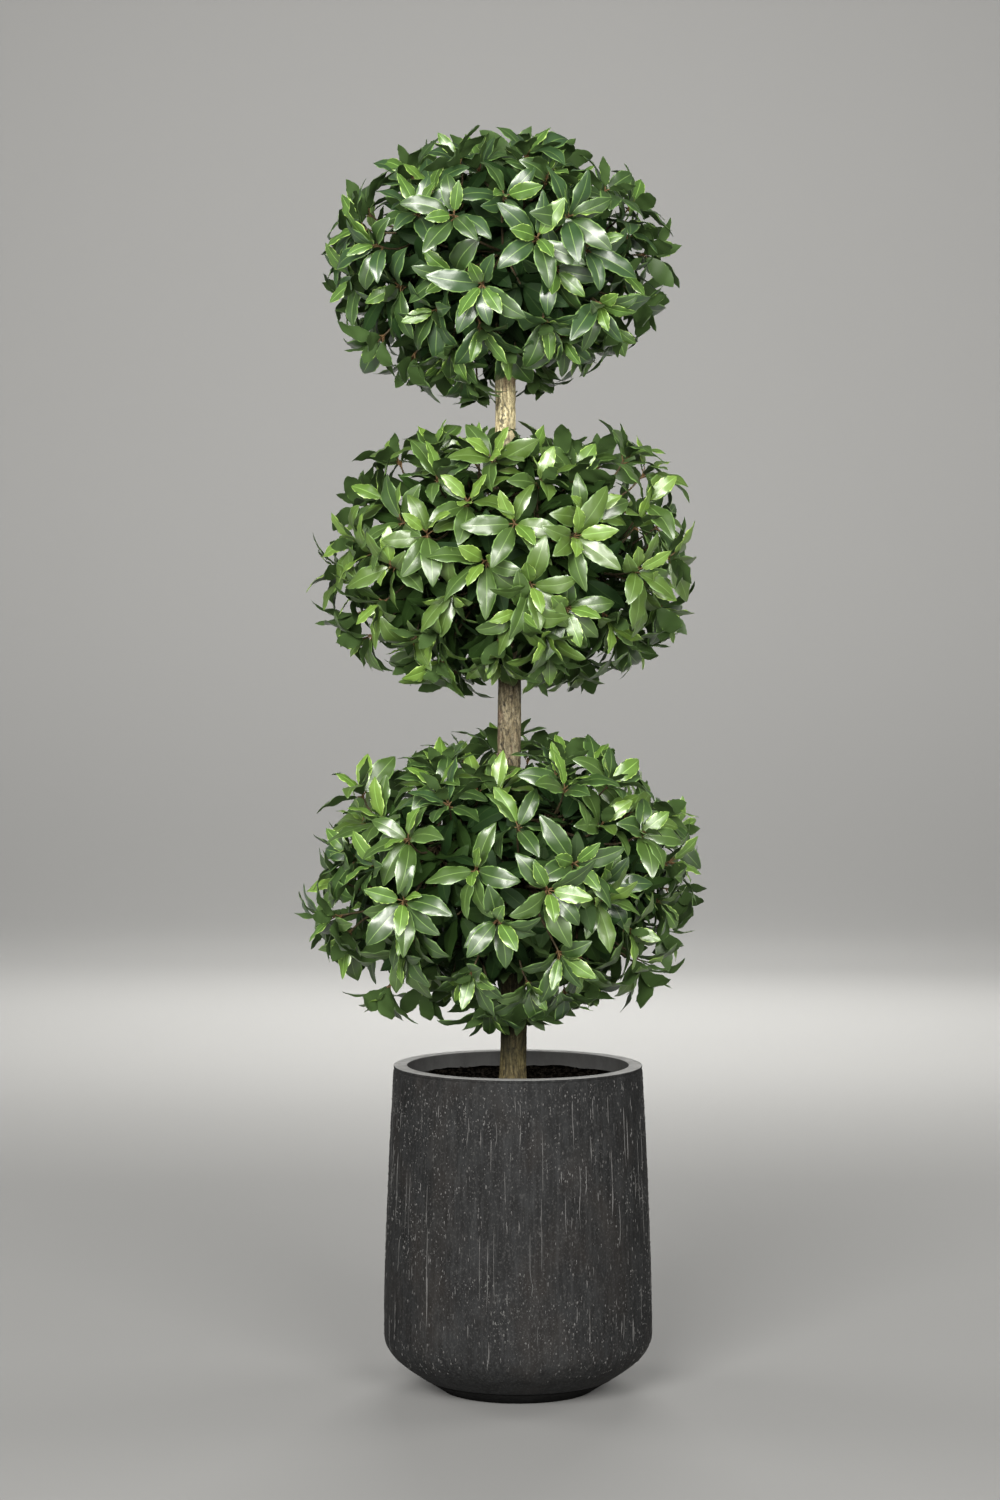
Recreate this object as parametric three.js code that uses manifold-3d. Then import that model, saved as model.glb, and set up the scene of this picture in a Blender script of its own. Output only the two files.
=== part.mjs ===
// Potted laurel topiary: three clipped balls of leaves on one upright trunk, in a tall round planter.
// Millimetres, +Z up. The origin is the centre of the planter's flat underside.
import * as THREE from "three";
import { mergeVertices } from "three/addons/utils/BufferGeometryUtils.js";
import Module from "manifold-3d";

const wasm = await Module();
wasm.setup();

// Gap between solids that lie against each other, and what the flats of a faceted bore take from it.
const CLEARANCE = 0.3;
const FACET_ALLOWANCE = 0.05;

// Planter: a thick round shell, widest low down, with a sloping heel over a smaller foot.
const POT_HEIGHT = 423;
const POT_RIM_RADIUS = 162;
const POT_BELLY_RADIUS = 175;
const POT_UNDERSIDE_RADIUS = 127;
const POT_HEEL_HEIGHT = 57;
const POT_HEEL_SLOPE = THREE.MathUtils.degToRad(34.5); // where the heel leaves the underside
const POT_HEEL_EASE = 32; // how far the heel holds its slope before it turns up
const POT_HEEL_ROUND = 26; // how far below the wall that turn ends
const POT_SHOULDER_SHARE = 0.3; // how far up the wall the belly stays full
const POT_WALL = 18;
const POT_FLOOR = 20;
const POT_EDGE = 2.5; // small bevel on both edges of the rim
const POT_SIDES = 40;
const POT_CURVE_STEPS = 4;
const FOOT_HEIGHT = 17.5;
const FOOT_RADIUS = 124.5; // at the top, just inside the underside's edge
const FOOT_DRAFT = 24;

// Compost: it fills the planter to a little below the rim.
const SOIL_BELOW_RIM = 19;

// Trunk: cut flat at the compost, nearly straight, with a slight lean and a small root flare.
const TRUNK_BASE_X = -7;
const TRUNK_LEAN = -0.0125; // sideways for each unit of height
const TRUNK_SWAY = 2.2;
const TRUNK_SWAY_PITCH = 410;
const TRUNK_SWAY_DEPTH_PITCH = 680;
const TRUNK_BASE_RADIUS = 17;
const TRUNK_TIP_RADIUS = 13;
const TRUNK_FLARE = 1.4;
const TRUNK_FLARE_HEIGHT = 14;
const TRUNK_TIP_Z = 1508;
const TRUNK_SIDES = 12;
const TRUNK_RINGS = 14;

// Foliage: each ball reaches to an ellipsoid round the trunk, out to its furthest leaf tips.
const BALLS = [
  { name: "foliage_ball_lower", x: -16, z: 669, reach: 275, halfHeight: 203, rosettes: 38, seed: 211 },
  { name: "foliage_ball_middle", x: -18, z: 1080, reach: 253, halfHeight: 192, rosettes: 36, seed: 223 },
  { name: "foliage_ball_upper", x: -22, z: 1459, reach: 237, halfHeight: 186, rosettes: 34, seed: 237 },
];
const ROSETTE_DEPTH = 42; // from the reach in to the whorl where a twig's leaves meet
const CORE_DEPTH = 60; // from the reach in to the dense middle of the ball
const CORE_DETAIL = 2;
const CORE_LUMPS = 0.04;
const GOLDEN_ANGLE = Math.PI * (3 - Math.sqrt(5));
const SCATTER = 0.1; // how far a twig strays from the even spread
const RISE = 0.18; // how far a twig turns up towards the light
const TWIG_ROOT_SHARE = 0.8; // where a twig starts, as a share of the way out to the core's surface
const TWIG_BASE_RADIUS = 6;
const TWIG_TIP_RADIUS = 3.5;
const BUD_RADIUS = 8;

// Leaves: larger than life, so that a countable number closes the crown.
const LEAVES_PER_ROSETTE = 5;
const LEAF_LENGTH = 96;
const LEAF_WIDTH_SHARE = 0.43;
const LEAF_LOWER = { along: 0.36, share: 0.84 }; // full breadth, from the root
const LEAF_UPPER = { along: 0.7, share: 0.76 }; // where it draws in to the tip
const LEAF_CROWN = 0.5; // highest point of the midrib
const LEAF_THICK_SHARE = 0.045;
const LEAF_ARCH_SHARE = 0.16; // droop of the tip
const LEAF_TRIMS = [1, 0.94, 0.88, 0.82, 0.76, 0.7, 0.64]; // tried in turn before a leaf is left out
const LEAF_SPREADS = [62, 74, 48].map(THREE.MathUtils.degToRad); // from the twig's line, in turn
const LEAF_SPREAD_STRAY = THREE.MathUtils.degToRad(8);
const LEAF_TURN_STRAY = 0.2; // as a share of the even turn from leaf to leaf
const TRUNK_ROOM = 4; // least space between a leaf and the trunk

const FINISHES = {
  planter: new THREE.MeshStandardMaterial({ color: 0x3c3b3a, roughness: 0.75, metalness: 0 }),
  foot: new THREE.MeshStandardMaterial({ color: 0x161616, roughness: 0.85, metalness: 0 }),
  compost: new THREE.MeshStandardMaterial({ color: 0x17130f, roughness: 0.95, metalness: 0 }),
  bark: new THREE.MeshStandardMaterial({ color: 0x8b7a5c, roughness: 0.85, metalness: 0 }),
  foliage: new THREE.MeshStandardMaterial({ color: 0x2f5a25, roughness: 0.35, metalness: 0 }),
};

const BELLY_Z = FOOT_HEIGHT + POT_HEEL_HEIGHT;
const CAVITY_FLOOR_Z = FOOT_HEIGHT + POT_FLOOR;
const CAVITY_TOP_RADIUS = POT_RIM_RADIUS - POT_WALL;
const CAVITY_BELLY_RADIUS = POT_BELLY_RADIUS - POT_WALL;
// The cavity's floor ends a wall's thickness inside the slope of the heel.
const CAVITY_FLOOR_RADIUS =
  POT_UNDERSIDE_RADIUS +
  (POT_FLOOR * Math.cos(POT_HEEL_SLOPE) - POT_WALL) / Math.sin(POT_HEEL_SLOPE);
const SOIL_Z = POT_HEIGHT - SOIL_BELOW_RIM;

// A repeatable stream of numbers from 0 to 1.
function seededRandom(seed) {
  let state = seed >>> 0;
  return () => {
    state = (state + 0x6d2b79f5) >>> 0;
    let t = Math.imul(state ^ (state >>> 15), state | 1);
    t ^= t + Math.imul(t ^ (t >>> 7), t | 61);
    return ((t ^ (t >>> 14)) >>> 0) / 4294967296;
  };
}

// A closed geometry as a solid that can be joined and cut.
function solidOf(geometry) {
  const bare = geometry.clone();
  bare.deleteAttribute("normal");
  bare.deleteAttribute("uv");
  const merged = mergeVertices(bare, 1e-4);
  return new wasm.Manifold(
    new wasm.Mesh({
      numProp: 3,
      vertProperties: merged.attributes.position.array,
      triVerts: new Uint32Array(merged.index.array),
    }),
  );
}

// The surface of a solid, flat-shaded.
function geometryOf(solid) {
  const { vertProperties, triVerts } = solid.getMesh();
  const surface = new THREE.BufferGeometry();
  surface.setAttribute("position", new THREE.BufferAttribute(vertProperties, 3));
  surface.setIndex(new THREE.BufferAttribute(triVerts, 1));
  surface.computeVertexNormals();
  return surface;
}

function named(name, geometry, finish) {
  const mesh = new THREE.Mesh(geometry, finish);
  mesh.name = name;
  return mesh;
}

// A turned shape: the outline runs from the axis round to the axis, and its axis becomes +Z.
function turned(outline, sides) {
  return new THREE.LatheGeometry(outline, sides).rotateX(Math.PI / 2);
}

// The outside of the planter from the underside to the rim, then the rim and the cavity.
function planterBody() {
  const outline = new THREE.Path();
  const wallTop = POT_HEIGHT - POT_EDGE;
  outline.moveTo(0, FOOT_HEIGHT);
  outline.lineTo(POT_UNDERSIDE_RADIUS, FOOT_HEIGHT);
  outline.bezierCurveTo(
    POT_UNDERSIDE_RADIUS + POT_HEEL_EASE * Math.cos(POT_HEEL_SLOPE),
    FOOT_HEIGHT + POT_HEEL_EASE * Math.sin(POT_HEEL_SLOPE),
    POT_BELLY_RADIUS,
    BELLY_Z - POT_HEEL_ROUND,
    POT_BELLY_RADIUS,
    BELLY_Z,
  );
  outline.quadraticCurveTo(
    POT_BELLY_RADIUS,
    BELLY_Z + POT_SHOULDER_SHARE * (POT_HEIGHT - BELLY_Z),
    POT_RIM_RADIUS,
    wallTop,
  );
  outline.lineTo(POT_RIM_RADIUS - POT_EDGE, POT_HEIGHT);
  outline.lineTo(CAVITY_TOP_RADIUS + POT_EDGE, POT_HEIGHT);
  outline.lineTo(CAVITY_TOP_RADIUS, wallTop);
  outline.lineTo(CAVITY_BELLY_RADIUS, BELLY_Z);
  outline.lineTo(CAVITY_FLOOR_RADIUS, CAVITY_FLOOR_Z);
  outline.lineTo(0, CAVITY_FLOOR_Z);
  return named("planter_body", turned(outline.getPoints(POT_CURVE_STEPS), POT_SIDES), FINISHES.planter);
}

// The dark tapered disc that lifts the planter off the floor.
function planterFoot() {
  const outline = [
    new THREE.Vector2(0, 0),
    new THREE.Vector2(FOOT_RADIUS - FOOT_DRAFT, 0),
    new THREE.Vector2(FOOT_RADIUS, FOOT_HEIGHT),
    new THREE.Vector2(0, FOOT_HEIGHT),
  ];
  return named("planter_foot", turned(outline, POT_SIDES), FINISHES.foot);
}

// The compost rests on the planter's floor and stands just clear of its wall.
function pottingCompost() {
  const gap = 1.5 * CLEARANCE; // the slope of the heel takes up to a third of it away
  const depth = SOIL_Z - CAVITY_FLOOR_Z;
  const upTheWall = (SOIL_Z - BELLY_Z) / (POT_HEIGHT - POT_EDGE - BELLY_Z);
  const topRadius = THREE.MathUtils.lerp(CAVITY_BELLY_RADIUS, CAVITY_TOP_RADIUS, upTheWall);
  const outline = [
    new THREE.Vector2(0, 0),
    new THREE.Vector2(CAVITY_FLOOR_RADIUS - gap, 0),
    new THREE.Vector2(CAVITY_BELLY_RADIUS - gap, BELLY_Z - CAVITY_FLOOR_Z),
    new THREE.Vector2(topRadius - gap, depth),
    new THREE.Vector2(0, depth),
  ];
  const compost = named("potting_compost", turned(outline, POT_SIDES), FINISHES.compost);
  compost.position.z = CAVITY_FLOOR_Z;
  return compost;
}

// Middle of the trunk at a height: the lean and a slow sway that starts from nothing at the compost.
function trunkCentre(z) {
  const up = z - SOIL_Z;
  const sway = (pitch) => TRUNK_SWAY * Math.sin((2 * Math.PI * up) / pitch);
  const x = TRUNK_BASE_X + TRUNK_LEAN * up + sway(TRUNK_SWAY_PITCH);
  return new THREE.Vector3(x, sway(TRUNK_SWAY_DEPTH_PITCH), z);
}

function trunkRadius(z) {
  const up = z - SOIL_Z;
  const taper = THREE.MathUtils.mapLinear(z, SOIL_Z, TRUNK_TIP_Z, TRUNK_BASE_RADIUS, TRUNK_TIP_RADIUS);
  return taper + TRUNK_FLARE * Math.exp(-up / TRUNK_FLARE_HEIGHT);
}

// The trunk from its flat cut to its tip, grown all round by an allowance.
function trunkGeometry(allowance) {
  const heights = [SOIL_Z - allowance, SOIL_Z + TRUNK_FLARE_HEIGHT, SOIL_Z + 3 * TRUNK_FLARE_HEIGHT];
  const lastFlare = heights[heights.length - 1];
  for (let ring = 1; ring <= TRUNK_RINGS; ring++) {
    heights.push(THREE.MathUtils.lerp(lastFlare, TRUNK_TIP_Z + allowance, ring / TRUNK_RINGS));
  }
  const side = heights.map((z) => new THREE.Vector2(trunkRadius(z) + allowance, z));
  const foot = new THREE.Vector2(0, heights[0]);
  const tip = new THREE.Vector2(0, heights[heights.length - 1]);
  const geometry = turned([foot, ...side, tip], TRUNK_SIDES);
  const points = geometry.getAttribute("position");
  for (let i = 0; i < points.count; i++) {
    const centre = trunkCentre(points.getZ(i));
    points.setX(i, points.getX(i) + centre.x);
    points.setY(i, points.getY(i) + centre.y);
  }
  return geometry;
}

// A leaf lying along +X with its root at the origin: a six-sided outline, crowned along its middle
// and arched down to the tip.
function leafGeometry(length) {
  const halfWidth = (LEAF_WIDTH_SHARE * length) / 2;
  const corner = (along, share, lift = 0) => [
    along * length,
    share * halfWidth,
    lift * length - LEAF_ARCH_SHARE * length * along * along,
  ];
  const corners = [
    corner(0, 0),
    corner(LEAF_LOWER.along, -LEAF_LOWER.share),
    corner(LEAF_UPPER.along, -LEAF_UPPER.share),
    corner(1, 0),
    corner(LEAF_UPPER.along, LEAF_UPPER.share),
    corner(LEAF_LOWER.along, LEAF_LOWER.share),
    corner(LEAF_CROWN, 0, LEAF_THICK_SHARE),
  ];
  const crown = corners.length - 1;
  const upperFace = Array.from({ length: crown }, (_, i) => [crown, i, (i + 1) % crown]);
  const underside = [
    [0, 5, 1],
    [1, 5, 4],
    [1, 4, 2],
    [2, 4, 3],
  ];
  const geometry = new THREE.BufferGeometry();
  geometry.setAttribute("position", new THREE.Float32BufferAttribute(corners.flat(), 3));
  geometry.setIndex([...upperFace, ...underside].flat());
  return geometry;
}

// The dense middle of a ball: a faceted ellipsoid with an uneven surface.
function coreGeometry(size, random) {
  const even = new THREE.IcosahedronGeometry(1, CORE_DETAIL);
  even.deleteAttribute("normal");
  even.deleteAttribute("uv");
  const core = mergeVertices(even);
  const points = core.getAttribute("position");
  const point = new THREE.Vector3();
  for (let i = 0; i < points.count; i++) {
    const lump = 1 + CORE_LUMPS * (2 * random() - 1);
    point.fromBufferAttribute(points, i).multiply(size).multiplyScalar(lump);
    points.setXYZ(i, point.x, point.y, point.z);
  }
  return core;
}

// A three-sided twig that tapers from one point to another.
function twigGeometry(from, to) {
  const line = to.clone().sub(from);
  const geometry = new THREE.CylinderGeometry(TWIG_TIP_RADIUS, TWIG_BASE_RADIUS, line.length(), 3);
  const turn = new THREE.Quaternion().setFromUnitVectors(new THREE.Vector3(0, 1, 0), line.normalize());
  return geometry.applyQuaternion(turn).translate(...from.clone().add(to).multiplyScalar(0.5));
}

// Even directions round a ball, each strayed a little.
function twigDirections(count, random) {
  const stray = () => SCATTER * (2 * random() - 1);
  return Array.from({ length: count }, (_, i) => {
    const z = 1 - (2 * (i + 0.5)) / count;
    const around = Math.sqrt(1 - z * z);
    const angle = i * GOLDEN_ANGLE;
    return new THREE.Vector3(
      around * Math.cos(angle) + stray(),
      around * Math.sin(angle) + stray(),
      z + stray(),
    ).normalize();
  });
}

// Whether a leaf lies inside the ball's reach and clear of the trunk, from its root to every corner.
function keepsToItsSpace(leaf, ball, reach) {
  const points = leaf.getAttribute("position");
  const root = new THREE.Vector3().fromBufferAttribute(points, 0);
  const corner = new THREE.Vector3();
  for (let i = 1; i < points.count; i++) {
    corner.fromBufferAttribute(points, i);
    if (corner.clone().divide(reach).length() > 1) return false;
    for (const step of [0.25, 0.5, 0.75, 1]) {
      const at = root.clone().lerp(corner, step);
      const z = at.z + ball.z;
      const trunk = trunkCentre(z);
      const apart = Math.hypot(at.x + ball.x - trunk.x, at.y - trunk.y);
      if (z < TRUNK_TIP_Z + TRUNK_ROOM && apart < trunkRadius(z) + TRUNK_ROOM) return false;
    }
  }
  return true;
}

// Whether a solid cuts into any of the others.
function cutsInto(solid, others) {
  const box = solid.boundingBox();
  return others.some((other) => {
    const theirs = other.boundingBox();
    const apart = [0, 1, 2].some((k) => box.min[k] > theirs.max[k] || theirs.min[k] > box.max[k]);
    return !apart && !solid.intersect(other).isEmpty();
  });
}

// The five-sided bud at a twig's end, with a face towards each leaf of the whorl.
function budGeometry(at, axis, firstLeaf) {
  const side = firstLeaf.clone().cross(axis);
  const place = new THREE.Matrix4().makeBasis(firstLeaf, axis, side).setPosition(at);
  return new THREE.SphereGeometry(BUD_RADIUS, LEAVES_PER_ROSETTE, 2).applyMatrix4(place);
}

// The leaves of one whorl, spread round the twig's end. Each is the longest that keeps to its space
// and passes between the leaves of the whorls before it.
function whorlLeaves(at, axis, firstLeaf, ball, reach, random, others) {
  const leaves = [];
  const evenTurn = (2 * Math.PI) / LEAVES_PER_ROSETTE;
  for (let i = 0; i < LEAVES_PER_ROSETTE; i++) {
    const turn = evenTurn * (i + LEAF_TURN_STRAY * (random() - 0.5));
    const stray = LEAF_SPREAD_STRAY * (2 * random() - 1);
    const outward = firstLeaf.clone().applyAxisAngle(axis, turn);
    const side = axis.clone().cross(outward);
    const choices = LEAF_TRIMS.flatMap((trim) => LEAF_SPREADS.map((spread) => [trim, spread + stray]));
    for (const [trim, spread] of choices) {
      const along = axis.clone().applyAxisAngle(side, spread);
      const place = new THREE.Matrix4().makeBasis(along, side, along.clone().cross(side)).setPosition(at);
      const leaf = leafGeometry(trim * LEAF_LENGTH).applyMatrix4(place);
      if (!keepsToItsSpace(leaf, ball, reach)) continue;
      const solid = solidOf(leaf);
      if (cutsInto(solid, others)) continue;
      leaves.push(solid);
      break;
    }
  }
  return leaves;
}

// One clipped ball: a dense core, twigs standing out of it and a whorl of leaves on each, fused,
// with the trunk's way through cut clear.
function foliageBall(ball) {
  const random = seededRandom(ball.seed);
  const reach = new THREE.Vector3(ball.reach, ball.reach, ball.halfHeight);
  const whorls = reach.clone().subScalar(ROSETTE_DEPTH);
  const middle = reach.clone().subScalar(CORE_DEPTH);
  const wood = [solidOf(coreGeometry(middle, random))];
  const leaves = [];
  for (const direction of twigDirections(ball.rosettes, random)) {
    const tip = direction.clone().multiply(whorls);
    const root = direction.clone().multiply(middle).multiplyScalar(TWIG_ROOT_SHARE);
    const axis = direction.clone().divide(whorls).normalize();
    axis.z += RISE;
    axis.normalize();
    const firstLeaf = new THREE.Vector3(0, 0, 1).cross(axis).normalize();
    firstLeaf.applyAxisAngle(axis, 2 * Math.PI * random());
    const whorl = whorlLeaves(tip, axis, firstLeaf, ball, reach, random, leaves);
    if (whorl.length === 0) continue;
    leaves.push(...whorl);
    wood.push(solidOf(twigGeometry(root, tip)));
    wood.push(solidOf(budGeometry(tip, axis, firstLeaf)));
  }
  const way = solidOf(trunkGeometry(CLEARANCE + FACET_ALLOWANCE)).translate(-ball.x, 0, -ball.z);
  const fused = wasm.Manifold.union([...wood, ...leaves]).subtract(way);
  const largest = fused.decompose().reduce((a, b) => (b.volume() > a.volume() ? b : a));
  const mesh = named(ball.name, geometryOf(largest), FINISHES.foliage.clone());
  mesh.position.set(ball.x, 0, ball.z);
  return mesh;
}

const planter = new THREE.Group();
planter.add(planterBody(), planterFoot(), pottingCompost());

const plant = new THREE.Group();
plant.add(named("trunk", trunkGeometry(0), FINISHES.bark));
plant.add(...BALLS.map(foliageBall));

const topiary = new THREE.Group();
topiary.add(planter, plant);

export default topiary;
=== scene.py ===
"""Potted laurel topiary: planter, compost, trunk, boughs, twigs and leaves, in metres."""
import sys
import logging
import math
from dataclasses import dataclass, field
from enum import Enum

import bpy
import numpy as np
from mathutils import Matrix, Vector


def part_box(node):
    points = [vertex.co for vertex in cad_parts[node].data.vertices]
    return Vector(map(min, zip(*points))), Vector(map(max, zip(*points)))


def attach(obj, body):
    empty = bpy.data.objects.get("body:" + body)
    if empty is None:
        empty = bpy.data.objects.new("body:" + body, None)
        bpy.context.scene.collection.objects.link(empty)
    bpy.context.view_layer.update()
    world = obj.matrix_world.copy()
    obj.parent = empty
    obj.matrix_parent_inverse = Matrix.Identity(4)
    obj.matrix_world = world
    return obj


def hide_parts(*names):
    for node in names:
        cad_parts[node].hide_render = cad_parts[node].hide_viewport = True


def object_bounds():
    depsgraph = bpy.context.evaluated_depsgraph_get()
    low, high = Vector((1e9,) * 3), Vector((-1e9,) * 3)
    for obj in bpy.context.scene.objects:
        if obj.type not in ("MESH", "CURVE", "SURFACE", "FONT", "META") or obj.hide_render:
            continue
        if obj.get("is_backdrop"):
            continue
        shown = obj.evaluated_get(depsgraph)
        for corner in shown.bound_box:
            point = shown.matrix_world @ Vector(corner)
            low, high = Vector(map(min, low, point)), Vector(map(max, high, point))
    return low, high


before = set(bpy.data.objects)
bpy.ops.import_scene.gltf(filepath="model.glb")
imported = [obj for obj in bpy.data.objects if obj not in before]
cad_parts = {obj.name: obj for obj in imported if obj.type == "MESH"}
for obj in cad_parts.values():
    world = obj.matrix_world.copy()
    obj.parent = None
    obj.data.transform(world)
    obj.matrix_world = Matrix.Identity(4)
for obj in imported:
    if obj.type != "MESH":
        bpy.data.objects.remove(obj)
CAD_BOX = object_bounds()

log = logging.getLogger("topiary")

Colour = tuple[float, float, float]
Place = tuple[float, float, float]
Axes = tuple[float, float, float]
Span = tuple[float, float]
Grid = tuple[int, int]

BODY = "root"
FULL_TURN = 2 * math.pi
GOLDEN_ANGLE = math.pi * (3 - math.sqrt(5))
SECOND_LAYER = 0.6
UPWARD = np.array([0.0, 0.0, 1.0])


def unit(vectors: np.ndarray) -> np.ndarray:
    """Vectors scaled to length one along the last axis."""
    return vectors / np.linalg.norm(vectors, axis=-1, keepdims=True)


def turned_about(vector: np.ndarray, axis: np.ndarray, angles: np.ndarray) -> np.ndarray:
    """Turn a vector about a unit axis by each of several angles.

    Args:
        vector: the vector to turn, one for all angles or one for each.
        axis: the unit axis, one for all angles or one for each.
        angles: the angles in radians.

    Returns:
        One turned vector for each angle.
    """
    cos = np.cos(angles)[..., None]
    sin = np.sin(angles)[..., None]
    along = np.sum(axis * vector, axis=-1, keepdims=True) * axis
    return vector * cos + np.cross(axis, vector) * sin + along * (1 - cos)


def bezier(controls: list[tuple[float, ...]] | np.ndarray, steps: int) -> np.ndarray:
    """Points along a Bezier curve.

    Args:
        controls: the control points, from the curve's start to its end.
        steps: how many stretches the curve is divided into.

    Returns:
        The points, one more than there are steps.
    """
    share = np.linspace(0, 1, steps + 1)[:, None, None]
    points = np.repeat(np.asarray(controls, float)[None], steps + 1, axis=0)
    while points.shape[1] > 1:
        points = points[:, :-1] * (1 - share) + points[:, 1:] * share
    return points[:, 0]


def smoothstep(low: float, high: float, value: np.ndarray) -> np.ndarray:
    """An even rise from 0 at the low end to 1 at the high end."""
    share = np.clip((value - low) / (high - low), 0, 1)
    return share * share * (3 - 2 * share)


class LatticeNoise:
    """Smooth repeatable noise from -1 to 1 on a grid that closes round its first axis."""

    def __init__(self, seed: int, around: int, along: int) -> None:
        """Deal a value to each point of the grid.

        Args:
            seed: start of the stream of random numbers.
            around: grid steps in one turn.
            along: grid steps from end to end.
        """
        self.around = around
        self.along = along
        self.values = np.random.default_rng(seed).uniform(-1, 1, (around, along + 2))

    def at(self, turn: np.ndarray, share: np.ndarray) -> np.ndarray:
        """Noise at places on the grid.

        Args:
            turn: place round the first axis, in turns.
            share: place along the second axis, from 0 to 1.

        Returns:
            The noise at each place.
        """
        u = np.mod(turn, 1) * self.around
        v = np.clip(share, 0, 1) * self.along
        i = np.floor(u).astype(int) % self.around
        j = np.floor(v).astype(int)
        fu = smoothstep(0, 1, u - np.floor(u))
        fv = smoothstep(0, 1, v - np.floor(v))
        after = (i + 1) % self.around
        near = self.values[i, j] * (1 - fu) + self.values[after, j] * fu
        far = self.values[i, j + 1] * (1 - fu) + self.values[after, j + 1] * fu
        return near * (1 - fv) + far * fv


def layered_noise(seed: int, grids: tuple[Grid, Grid], turn: np.ndarray, share: np.ndarray) -> np.ndarray:
    """Noise of two layers, of which the second is weaker.

    Args:
        seed: start of the first layer's random numbers, one before the second layer's.
        grids: grid steps round and along, for each layer.
        turn: place round the first axis, in turns.
        share: place along the second axis, from 0 to 1.

    Returns:
        The noise at each place.
    """
    strong, weak = (LatticeNoise(seed + k, *grid).at(turn, share) for k, grid in enumerate(grids))
    return strong + SECOND_LAYER * weak


def new_object(name: str, data: bpy.types.ID) -> bpy.types.Object:
    """Make an object and link it to the scene.

    Args:
        name: the object's name.
        data: the mesh, light or camera that it shows.

    Returns:
        The object.
    """
    made = bpy.data.objects.new(name, data)
    bpy.context.scene.collection.objects.link(made)
    return made


@dataclass
class Shell:
    """Points and faces of one joined piece while it grows.

    Attributes:
        points: blocks of corner places.
        faces: blocks of faces, all with the same number of corners in a block.
        finishes: the number of the finish of each face, block by block.
        maps: the flat place of each face's corners, block by block, where the piece has a flat map.
        count: how many points there are so far.
    """

    points: list[np.ndarray] = field(default_factory=list)
    faces: list[np.ndarray] = field(default_factory=list)
    finishes: list[np.ndarray] = field(default_factory=list)
    maps: list[np.ndarray] = field(default_factory=list)
    count: int = 0

    def add(
        self, points: np.ndarray, faces: list[np.ndarray], finishes: list[np.ndarray] | None = None
    ) -> None:
        """Add a block of points and the faces between them.

        Args:
            points: corner places.
            faces: blocks of faces, numbered from the first of these points.
            finishes: the finish of each face, block by block, or None for the first finish.
        """
        points = points.reshape(-1, 3)
        self.points.append(points)
        for k, block in enumerate(faces):
            self.faces.append(block + self.count)
            self.finishes.append(np.zeros(len(block), int) if finishes is None else finishes[k])
        self.count += len(points)

    def piece(
        self,
        name: str,
        materials: list[bpy.types.Material],
        slot: str,
        sharp: np.ndarray | None = None,
    ) -> bpy.types.Object:
        """Make the joined mesh, shade it smooth and let it ride on the body.

        Args:
            name: the piece's name.
            materials: its finishes, in the order that the faces number them.
            slot: the record's material slot, not used.
            sharp: which points lie on a sharp edge, or None where no edge is sharp.

        Returns:
            The new object.
        """
        points = np.concatenate(self.points)
        corners = np.concatenate([block.ravel() for block in self.faces])
        sizes = np.concatenate([np.full(len(block), block.shape[1]) for block in self.faces])
        mesh = bpy.data.meshes.new(name)
        mesh.vertices.add(len(points))
        mesh.vertices.foreach_set("co", points.astype(np.float32).ravel())
        mesh.loops.add(len(corners))
        mesh.loops.foreach_set("vertex_index", corners.astype(np.int32))
        mesh.polygons.add(len(sizes))
        mesh.polygons.foreach_set("loop_start", (np.cumsum(sizes) - sizes).astype(np.int32))
        mesh.polygons.foreach_set("material_index", np.concatenate(self.finishes).astype(np.int32))
        mesh.polygons.foreach_set("use_smooth", np.ones(len(sizes), bool))
        if self.maps:
            flat = mesh.uv_layers.new(name="OFBake")
            flat.data.foreach_set("uv", np.concatenate(self.maps).astype(np.float32).ravel())
        for material in materials:
            mesh.materials.append(material)
        mesh.update(calc_edges=True)
        if sharp is not None:
            ends = np.empty(2 * len(mesh.edges), np.int32)
            mesh.edges.foreach_get("vertices", ends)
            mesh.edges.foreach_set("use_edge_sharp", sharp[ends.reshape(-1, 2)].all(axis=1))
        made = new_object(name, mesh)
        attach(made, BODY)
        log.info("%s: %d triangles", name, int(np.sum(sizes - 2)))
        return made


def circle(sides: int) -> np.ndarray:
    """Unit points round the axis, counter-clockwise seen from above."""
    angles = FULL_TURN * np.arange(sides) / sides
    return np.stack([np.cos(angles), np.sin(angles), np.zeros(sides)], axis=-1)


def turned_rings(outline: np.ndarray, sides: int) -> np.ndarray:
    """The rings that an outline sweeps as it turns round the upright axis.

    Args:
        outline: radius and height of each ring.
        sides: number of points on a ring.

    Returns:
        Ring by ring, the points of each.
    """
    rings = outline[:, None, :1] * circle(sides)[None]
    rings[..., 2] = outline[:, None, 1]
    return rings


def band_faces(count: int, sides: int) -> np.ndarray:
    """Quads between each ring and the next.

    Args:
        count: number of rings.
        sides: number of points on a ring.

    Returns:
        The quads, band by band.
    """
    here = np.arange(sides)
    after = (here + 1) % sides
    level = (np.arange(count - 1) * sides)[:, None]
    quads = np.stack([level + here, level + after, level + sides + after, level + sides + here], axis=-1)
    return quads.reshape(-1, 4)


def end_faces(count: int, sides: int) -> tuple[np.ndarray, np.ndarray]:
    """Triangles that shut a row of rings, from two closing points numbered after all the rings' points.

    Args:
        count: number of rings.
        sides: number of points on a ring.

    Returns:
        The triangles before the first ring and those after the last.
    """
    here = np.arange(sides)
    after = (here + 1) % sides
    top = (count - 1) * sides
    first = np.stack([np.full(sides, count * sides), after, here], axis=-1)
    last = np.stack([np.full(sides, count * sides + 1), top + here, top + after], axis=-1)
    return first, last


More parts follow.
